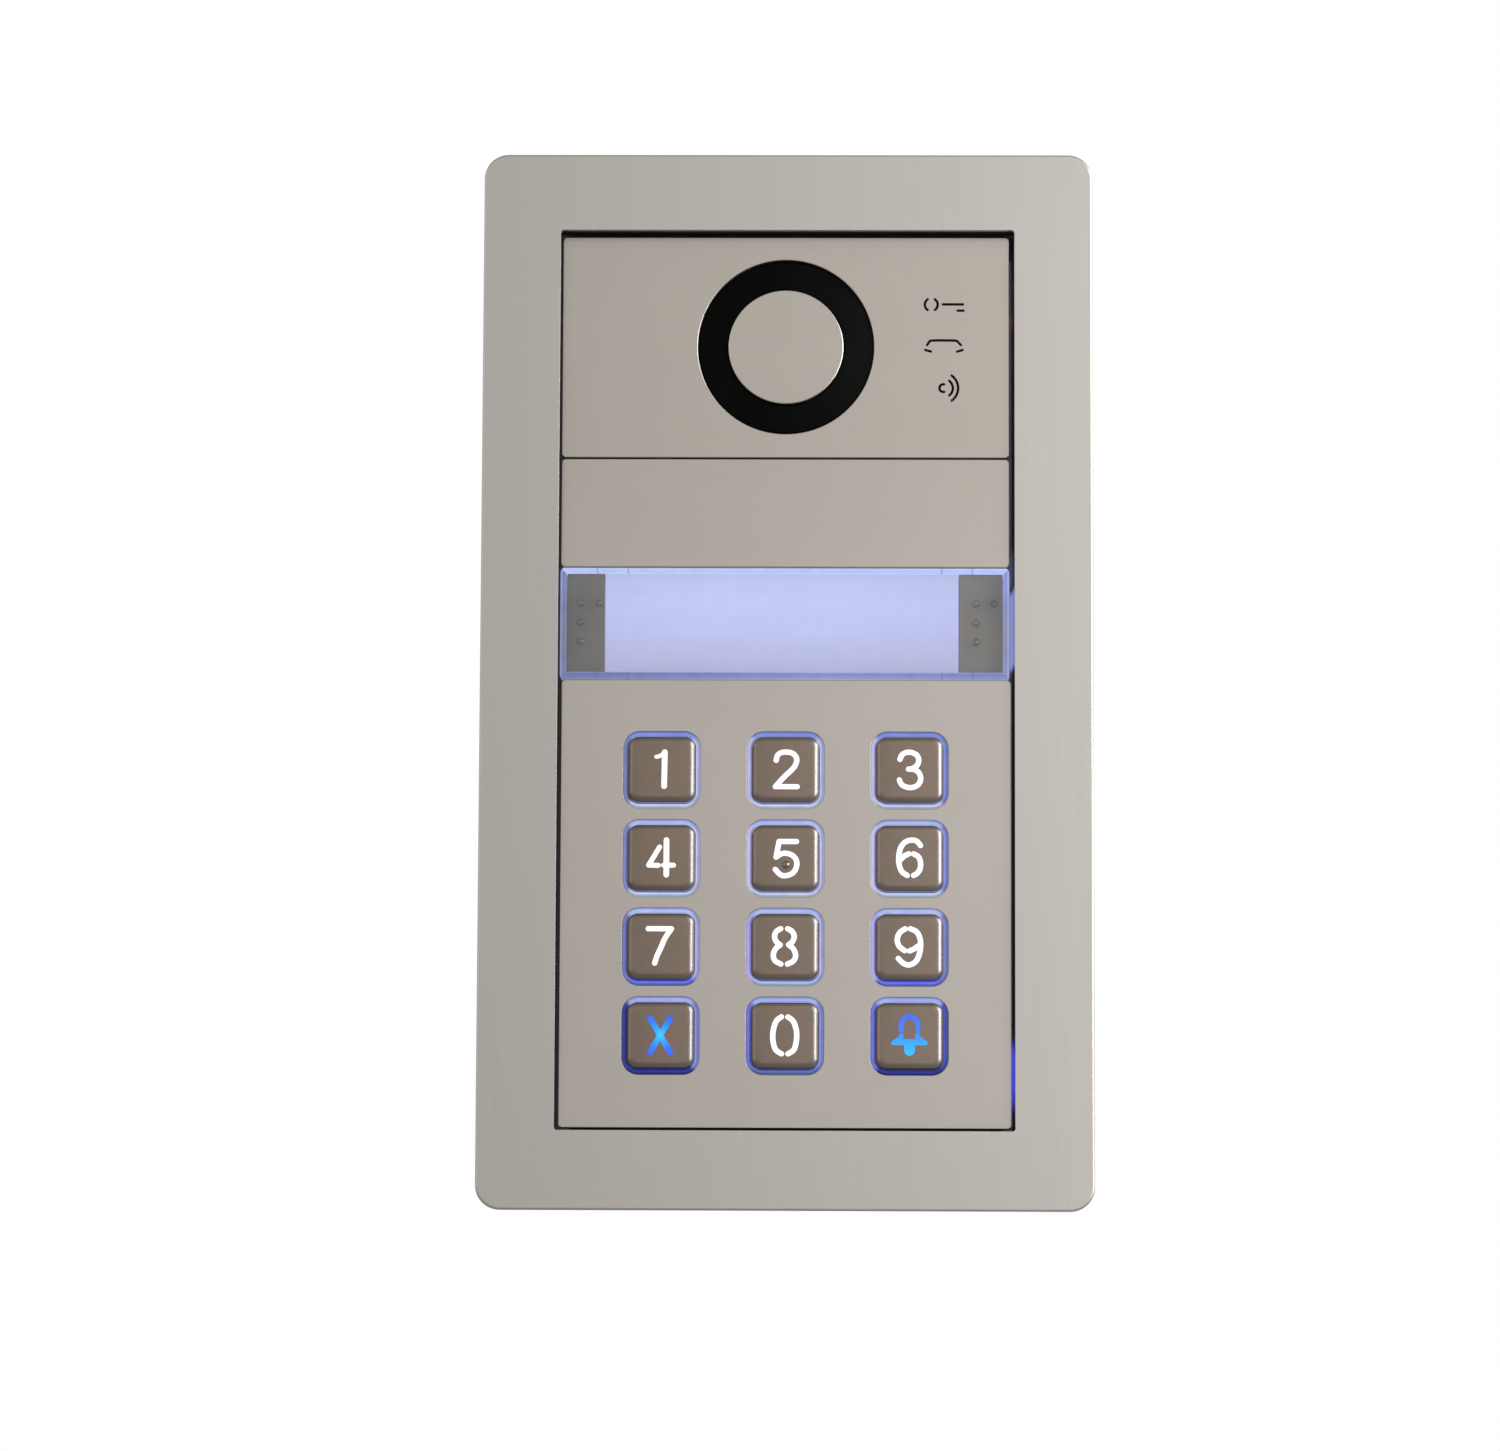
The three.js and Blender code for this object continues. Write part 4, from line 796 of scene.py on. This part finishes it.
def liner():
    s = Shape()
    flange = lambda i: rounded(122.4 - 2 * i, 213.9 - 2 * i, 4 - i, 8)
    collar = lambda i: rounded(96.8 - 2 * i, 188.2 - 2 * i, 2 - i, 6)
    out = s.tube(rows_out(flange, -2.2, -1.0, 0.15, 0.3, 3))
    neck = s.tube([(collar(-0.3), -1.0)] + rows_out(collar, -0.7, 2.2, 0.0, 0.4, 3))
    s.cap(out[-1], [neck[0]])
    hole = s.tube(rows_out(lambda i: rounded(APERTURE[0] + 2 * i, APERTURE[1] + 2 * i, 0.6 + i, 4, *APERTURE[2:]), -2.2, 2.2, 0.1, 0.3, 3))
    s.cap(out[0], [hole[0]])
    s.cap(neck[-1], [hole[-1]])
    # snap hooks that hold the frame to the chassis
    for x, z, w, h in ((0, 94.6, 9, 1.2), (0, -94.6, 9, 1.2), (-48.9, 40, 1.2, 9), (-48.9, -40, 1.2, 9), (48.9, 40, 1.2, 9), (48.9, -40, 1.2, 9)):
        s.block(x - w / 2, x + w / 2, 0.3, 2.1, z - h / 2, z + h / 2, 0.25)
    build("liner_moulding", s, [M["liner_plastic"]], "panel", ["frame_liner"])


def gasket():
    s = Shape()
    out = s.tube(rows_out(lambda i: rounded(120.8 - 2 * i, 212.3 - 2 * i, 3.4 - i, 8), -0.7, 0, 0.15, 0.15, 2))
    hole = s.tube(rows_out(lambda i: rounded(104.4 + 2 * i, 195.8 + 2 * i, 2 + i, 6), -0.7, 0, 0.15, 0.15, 2))
    s.cap(out[0], [hole[0]])
    s.cap(out[-1], [hole[-1]])
    build("gasket_foam", s, [M["foam_gasket"]], "panel", ["wall_gasket"])


def flush_box():
    s = Shape()
    shell = lambda i: rounded(101.6 - 2 * i, 193.0 - 2 * i, 4 - i, 10)
    cavity = lambda i: rounded(97.6 + 2 * i, 189.0 + 2 * i, 2.5 + i, 10)
    out = s.tube(rows_out(shell, 0.5, 44.0, 0.35, 1.4, 5))
    inn = s.tube([(cavity(0.3), 0.5), (cavity(0.0), 0.9), (cavity(0.0), 41.2), (cavity(-0.3), 41.8), (cavity(-0.9), 42.0)])
    s.skin(out[0], inn[0])
    # rear wall: the cable hole, and knock-outs as thinned discs
    cable = s.tube([(circle(9.8, 40, 0, 62), 42.0), (circle(10.0, 40, 0, 62), 42.2), (circle(10.0, 40, 0, 62), 43.6), (circle(10.4, 40, 0, 62), 44.0)])
    grooves = []
    for x, z, r in ((-26, -62, 10), (26, -62, 10), (0, -20, 10), (-26, 20, 7), (26, 20, 7)):
        g = s.tube([(circle(r, 36, x, z), 44.0), (circle(r - 0.15, 36, x, z), 43.2), (circle(r - 0.9, 36, x, z), 43.2), (circle(r - 1.05, 36, x, z), 44.0)])
        s.cap(g[-1])
        grooves.append(g[0])
    # the rear face, round the cable hole and the knock-outs
    s.cap(out[-1], [cable[-1], *grooves])
    s.cap(inn[-1], [cable[0]])
    # screw posts inside, anchor ribs outside
    for sx in (-1, 1):
        for sz in (-1, 1):
            s.turned([(2.0, 27.6), (2.3, 27.3), (4.2, 27.3), (4.5, 27.6), (4.5, 42.3), (2.0, 42.3)], 24, sx * 42, sz * 86)
        for z in (-60, 0, 60):
            x0, x1 = sorted((sx * 50.3, sx * 52.3))
            s.block(x0, x1, 8, 36, z - 1.2, z + 1.2, 0.35)
    build("wall_box", s, [M["box_plastic"]], "panel", ["flush_box"])


def grommet():
    s = Shape()
    p = [(6.0, 39.9), (6.3, 39.6), (11.3, 39.6), (11.6, 39.7), (12.5, 40.5), (12.6, 40.8), (12.6, 41.6), (12.5, 41.7), (9.7, 41.7), (9.7, 43.6), (9.6, 43.7), (6.3, 43.7), (6.0, 43.4)]
    s.turned(p, 48, 0, 62)
    build("grommet_ring", s, [M["black_rubber"]], "panel", ["cable_grommet"])


# ---------------------------------------------------------------- module plates
def plate(cx, z0, z1, holes, name, replaces, clips=()):
    """holes are functions of inset giving (loop, front radius) in CAD X, Z."""
    s = Shape()
    mid, h = (z0 + z1) / 2, z1 - z0
    out = s.tube(rows_out(lambda i: rounded(PLATE_W - 2 * i, h - 2 * i, 0.8 - i, 5, cx, mid), 0.0, 2.0, 0.2, 0.15, 4))
    fronts, backs = [], []
    for loop, e in holes:
        rows = rows_out(lambda i: loop(i), 0.0, 2.0, e, 0.1 if e else 0.0, 4)
        t = s.tube(rows)
        fronts.append(t[0])
        backs.append(t[-1])
    s.cap(out[0], fronts)
    s.cap(out[-1], backs)
    for c in clips:
        s.block(*c)
    return build(name, s, [M["plate_metal"]], "panel", replaces)


PICTOGRAMS = [
    arc(29.52, 77.74, 1.33, 1.33, 124, 236, 10), arc(29.52, 77.74, 1.33, 1.33, -56, 56, 10), [(31.9, 77.79), (36.05, 77.79)], [(34.95, 76.49), (36.15, 76.49)],
    curve([(28.68, 69.3), (29.1, 69.95), (29.75, 70.24), (34.1, 70.24), (34.95, 70.0), (35.6, 69.3)], 4), [(28.3, 68.27), (29.45, 67.95)], [(34.82, 67.93), (35.95, 68.27)],
    arc(32.0, 60.33, 0.8, 0.8, 78, 282, 10), arc(32.07, 60.33, 1.9, 1.9, -53, 53, 12), arc(31.83, 60.33, 3.22, 3.22, -54, 54, 14),
]


def plates():
    holes = [(lambda i: circle(RING_R + i, 96, RING_X, RING_Z), 0.22)]
    for line in PICTOGRAMS:
        for loop in union(thick(line, 0.54, n=12), 0.002):
            holes.append((lambda i, loop=loop: loop, 0.0))
    plate(STACK_X, *AUDIO_Z, holes, "audio_front", ["audio_plate"])
    mid = sum(BLANK_Z) / 2
    clips = [(STACK_X + x - 4, STACK_X + x + 4, 1.5, 7.5, mid + a, mid + b, 0.2) for x in (-36, 36) for a, b in ((-8.2, -7.0), (7.0, 8.2))]
    plate(STACK_X, *BLANK_Z, [], "blank_front", ["blank_plate"], clips)
    keys = [(lambda i, x=x, z=z: rounded(15.8 + 2 * i, 15.8 + 2 * i, 3.4 + i, 8, x, z), 0.14) for x, z in KEY_AT.values()]
    plate(KEYPAD_X, *KEYPAD_Z, keys, "keypad_front", ["keypad_plate"])


def ring_and_disc():
    s = Shape()
    prof = [(12.1, 3.3), (12.1, 1.25), (12.17, 1.07), (12.35, 1.0), (17.6, 1.0), (17.78, 1.07), (17.85, 1.25), (17.85, 2.4), (20.4, 2.4), (20.4, 4.2), (2.3, 4.2), (2.3, 3.3)]
    s.turned(prof, 96, RING_X, RING_Z)
    build("speaker_ring", s, [M["gloss_black"]], "panel", ["ring_bezel"])
    d = Shape()
    d.turned([(0, 0.0), (11.6, 0.0), (11.72, 0.03), (11.81, 0.1), (11.84, 0.22), (11.84, 1.85), (11.7, 2.0), (1.9, 2.0), (1.9, 4.6), (0, 4.6)], 96, RING_X, RING_Z)
    build("speaker_disc", d, [M["plate_metal"]], "panel", ["centre_disc"])
    w = Shape()
    cx = STACK_X + 32.6
    rows = rows_out(lambda i: rounded(12.4 - 2 * i, 24 - 2 * i, 1 - i, 4, cx, 68.9), 2.3, 3.3, 0.1, 0.1, 2)
    t = w.tube(rows)
    w.cap(t[0])
    w.cap(t[-1])
    build("pictogram_window", w, [M["smoked_plastic"]], "panel", ["icon_window"])


# ---------------------------------------------------------------- call button
def call_button():
    z0, z1 = BUTTON_Z
    mid, h = (z0 + z1) / 2, z1 - z0
    s = Shape()
    outline = lambda i: rounded(PLATE_W - 2 * i, h - 2 * i, max(0.9 - i, 0.1), 5, STACK_X, mid)
    window = rounded(PLATE_W - 2 * COVER_WALL, h - COVER_TOP - COVER_BOTTOM, 0.25, 5, STACK_X, mid + (COVER_BOTTOM - COVER_TOP) / 2)
    out = s.tube(rows_out(outline, -0.2, 5.6, 0.3, 0.1, 4), 1)
    pane = s.ring(window, -0.2)
    s.skin(out[0], pane, 1)
    s.cap(pane, (), 0)
    inner = [s.ring(window, y) for y in (1.4, 5.6)]
    s.cap(inner[0], (), 0)
    s.skin(inner[0], inner[1], 1)
    s.skin(inner[1], out[-1], 1)
    for dot in ((-41.8, 4.15), (-38.0, 4.15), (-41.8, 0.2), (-41.8, -3.75), (39.1, 4.15), (42.8, 4.15), (39.1, 0.2), (39.1, -3.75)):
        for x, dz in (dot,):
            p = [(0.0, 0.1), (0.78, 0.1), (0.78, -0.2)] + [(0.72 * math.cos(math.radians(a)), -0.2 - 0.42 * math.sin(math.radians(a))) for a in (8, 25, 45, 65, 82)] + [(0.0, -0.62)]
            s.turned(p, 16, STACK_X + x, mid + dz, 2)
    build("button_cover", s, [M["clear_plastic"], M["cover_edge"], M["dot_plastic"]], "call_button", ["call_button_cover"])
    lo, hi = z0 + COVER_BOTTOM + 0.1, z1 - COVER_TOP - 0.1
    for name, x0, x1 in (("end_block_left", -44.6, -36.9), ("end_block_right", 35.7, 44.6)):
        b = Shape()
        b.block(STACK_X + x0, STACK_X + x1, 1.7, 5.0, lo, hi, 0.12)
        build(name + "_moulding", b, [M["grey_plastic"]], "call_button", [name])
    c = Shape()
    c.block(STACK_X - 36.8, STACK_X + 35.6, 1.7, 2.1, lo, hi, 0.08)
    build("name_card_sheet", c, [M["lit_card"]], "call_button", ["name_card"])


# ---------------------------------------------------------------- keypad
def light_guide():
    s = Shape()
    for x, z in KEY_AT.values():
        w_out, r_out, w_in, r_in = RIM_OUT, RIM_OUT_R, RIM_IN, RIM_IN_R
        rows = []
        n = 10
        for i in range(n + 1):  # a rounded crest across the rim
            t = math.pi * i / n
            k = 0.5 - 0.5 * math.cos(t)  # 0 outside, 1 inside
            w = w_out + (w_in - w_out) * k
            r = r_out + (r_in - r_out) * k
            rows.append((rounded(w, w, r, 8, x, z), 0.02 - 0.22 * math.sin(t)))
        rows = [(rounded(w_out, w_out, r_out, 8, x, z), 2.3)] + rows + [(rounded(w_in, w_in, r_in, 8, x, z), 3.5)]
        s.tube(rows)
    # the sheet behind the plate
    holes_front, holes_back = [], []
    for x, z in KEY_AT.values():
        holes_front.append(s.ring(rounded(RIM_OUT, RIM_OUT, RIM_OUT_R, 8, x, z), 2.3))
        holes_back.append(s.ring(rounded(RIM_IN, RIM_IN, RIM_IN_R, 8, x, z), 3.5))
    sheet = s.tube(rows_out(lambda i: rounded(84 - 2 * i, 78 - 2 * i, 2 - i, 5, KEYPAD_X, -46), 2.3, 3.5, 0.15, 0.15, 2))
    s.cap(sheet[0], holes_front)
    s.cap(sheet[-1], holes_back)
    build("key_rims", s, [M["lit_plastic"]], "panel", ["keypad_light_guide"], sharp=60)


def keys():
    for name in KEY_NAMES:
        cx, cz = KEY_AT[name]
        front, wall, rear = -1.6, 0.8, 4.6
        cuts = glyph(name, 0.0)
        at = lambda loop: [(cx + x, cz + z) for x, z in loop]
        s = Shape()
        crown = []
        for i in range(10):
            t = math.pi / 2 * i / 9
            k = 1.35 * (1 - math.sin(t))
            crown.append((rounded(13.4 - 2 * k, 13.4 - 2 * k, max(2.0 - 0.7 * k, 0.6), 8, cx, cz), front + 0.8 * (1 - math.cos(t))))
        out = s.tube(crown + [(rounded(13.4, 13.4, 2.0, 8, cx, cz), 3.9)] + [(rounded(15.0, 15.0, 2.2, 8, cx, cz), 3.9), (rounded(15.0, 15.0, 2.2, 8, cx, cz), rear)])
        pocket = s.tube([(rounded(11.8, 11.8, 1.2, 8, cx, cz), front + wall), (rounded(11.8, 11.8, 1.2, 8, cx, cz), rear)])
        a = [s.ring(at(loop), front) for loop in cuts]
        b = [s.ring(at(loop), front + wall) for loop in cuts]
        for p, q in zip(a, b):
            s.skin(p, q)
        s.cap(out[0], a)
        s.cap(pocket[0], b)
        s.skin(pocket[1], out[-1])
        if name == "key_5":
            dome = [(0.0, front + 0.2), (0.85, front + 0.2)] + [(0.8 * math.cos(math.radians(t)), front - 0.5 * math.sin(math.radians(t))) for t in (0, 20, 40, 60, 80)] + [(0.0, front - 0.5)]
            s.turned(dome, 20, cx + 0.15, cz - 1.4)
        build(name + "_cap_shell", s, [M["key_steel"]], name, [name + "_cap"])
        c = Shape()
        c.block(cx - 5.65, cx + 5.65, front + wall + 0.2, 5.0, cz - 5.65, cz + 5.65, 0.3)
        for loop in glyph(name, -0.06):
            t = c.tube([(at(loop), front + 0.07), (at(loop), front + wall + 0.3)])
            c.cap(t[0])
            c.cap(t[1])
        slot = "legend_blue" if name in ("key_cross", "key_bell") else "legend_white"
        build(name + "_core_lit", c, [M[slot]], name, [name + "_core"])


face_frame()
liner()
gasket()
flush_box()
grommet()
plates()
ring_and_disc()
call_button()
light_guide()
keys()

# ---------------------------------------------------------------- CAD nodes that stay, inside the case
KEEP = {
    "chassis": "zinc_steel", "chassis_screw_1": "zinc_steel", "chassis_screw_2": "zinc_steel", "chassis_screw_3": "zinc_steel", "chassis_screw_4": "zinc_steel",
    "audio_housing": "black_plastic", "keypad_housing": "black_plastic", "loudspeaker": "black_plastic", "microphone": "zinc_steel", "microphone_boot": "black_rubber",
    "audio_pcb": "circuit_board", "keypad_pcb": "circuit_board", "terminal_block": "terminal_plastic", "call_button_diffuser": "lit_plastic",
    "call_switch_left": "black_plastic", "call_switch_right": "black_plastic", "keypad_mat": "silicone", "link_cable": "ribbon_plastic",
}
M["diffuser"] = _glow("opal_diffuser", lin(170, 178, 240), 0.6)
for node, slot in KEEP.items():
    o = nodes[node]
    look = M["diffuser"] if node == "call_button_diffuser" else M["chassis_zinc"] if node == "chassis" else M[slot]
    for k in range(max(1, len(o.material_slots))):
        if len(o.data.materials) <= k:
            o.data.materials.append(look)
        else:
            o.data.materials[k] = look
    b = o.modifiers.new("edge", "BEVEL")
    b.width, b.segments, b.limit_method, b.angle_limit = 0.12 * MM, 2, "ANGLE", math.radians(50)

# ---------------------------------------------------------------- floor, light, camera
me = bpy.data.meshes.new("floor")
me.from_pydata([(-3, -3, 0), (3, -3, 0), (3, 3, 0), (-3, 3, 0)], [], [(0, 1, 2, 3)])
floor = bpy.data.objects.new("floor", me)
scene.collection.objects.link(floor)
floor.location = (0, 0, -0.27)
fm = Mat("floor_pale")
fn = fm.noise(fm.obj((6, 6, 6)), 1.0, 3.0, 0.5)
fm.pbr(base=fm.ramp(fn, [(0.3, lin(228, 227, 225)), (0.7, lin(236, 235, 233))]), rough=fm.span(fn, 0.3, 0.7, 0.7, 0.85))
me.materials.append(fm.mat)
floor.visible_glossy = False

world = bpy.data.worlds.new("studio")
scene.world = world
world.use_nodes = True
wt = world.node_tree
wt.nodes.clear()
wout = wt.nodes.new("ShaderNodeOutputWorld")
seen = wt.nodes.new("ShaderNodeBackground")
seen.inputs[0].default_value = (1, 1, 1, 1)
seen.inputs[1].default_value = 1.0
fill = wt.nodes.new("ShaderNodeBackground")
# a pale room seen by the metal: a bright band at eye level, dimmer towards the ceiling and the ground
way = wt.nodes.new("ShaderNodeSeparateXYZ")
wt.links.new(wt.nodes.new("ShaderNodeTexCoord").outputs["Generated"], way.inputs[0])
lift = wt.nodes.new("ShaderNodeMapRange")
for k, v in ((1, -1.0), (2, 1.0), (3, 0.0), (4, 1.0)):
    lift.inputs[k].default_value = v
wt.links.new(way.outputs[2], lift.inputs[0])
band = wt.nodes.new("ShaderNodeValToRGB")
for k, (at, v) in enumerate(((0.25, 0.46), (0.375, 0.52), (0.44, 0.68), (0.485, 0.92), (0.525, 1.0), (0.65, 1.0), (0.8, 0.74), (0.95, 0.5))):
    e = band.color_ramp.elements[k] if k < 2 else band.color_ramp.elements.new(at)
    e.position, e.color = at, (v, v * 0.975, v * 0.93, 1)
wt.links.new(lift.outputs[0], band.inputs[0])
wt.links.new(band.outputs[0], fill.inputs[0])
fill.inputs[1].default_value = 0.86
pick = wt.nodes.new("ShaderNodeMixShader")
path = wt.nodes.new("ShaderNodeLightPath")
wt.links.new(path.outputs["Is Camera Ray"], pick.inputs[0])
wt.links.new(fill.outputs[0], pick.inputs[1])
wt.links.new(seen.outputs[0], pick.inputs[2])
wt.links.new(pick.outputs[0], wout.inputs[0])


def lamp(name, at, look, size, watts, tint=(1, 1, 1)):
    d = bpy.data.lights.new(name, "AREA")
    d.shape = "RECTANGLE"
    d.size, d.size_y = size
    d.energy = watts
    d.color = tint
    d.use_shadow = False
    o = bpy.data.objects.new(name, d)
    scene.collection.objects.link(o)
    o.location = at
    o.rotation_mode = "QUATERNION"
    o.rotation_quaternion = (Vector(look) - Vector(at)).to_track_quat("-Z", "Y")
    return o


lamp("soft_right", (0.52, -0.44, 0.10), (0.0, 0.0, 0.0), (0.3, 0.5), 2.6, (0.97, 0.98, 1.0))
lamp("window_right", (0.75, -0.16, 0.26), (0.02, 0.0, 0.03), (0.3, 0.5), 2.2, (0.95, 0.97, 1.0))
lamp("soft_left", (-1.3, -0.9, 0.3), (0, 0, 0), (0.8, 1.2), 1.0)

cam = bpy.data.cameras.new("camera")
cam.sensor_fit = "AUTO"
cam.sensor_width = 36.0
cam.lens = 126.77
cam.clip_start, cam.clip_end = 0.01, 50
camera = bpy.data.objects.new("camera", cam)
scene.collection.objects.link(camera)
right = Vector((0.99988091, 0.01485799, 0.00417115))
down = Vector((0.00251247, 0.10995286, -0.99393363))
ahead = Vector((-0.01522649, 0.99382574, 0.10990244))
rot = Matrix((right, -down, -ahead)).transposed()
camera.matrix_world = Matrix.Translation((0.008986, -1.071695, -0.12804)) @ rot.to_4x4()
scene.camera = camera
scene.view_settings.view_transform = "Standard"
scene.view_settings.look = "None"
scene.view_settings.exposure = 0.0
scene.view_settings.gamma = 1.0
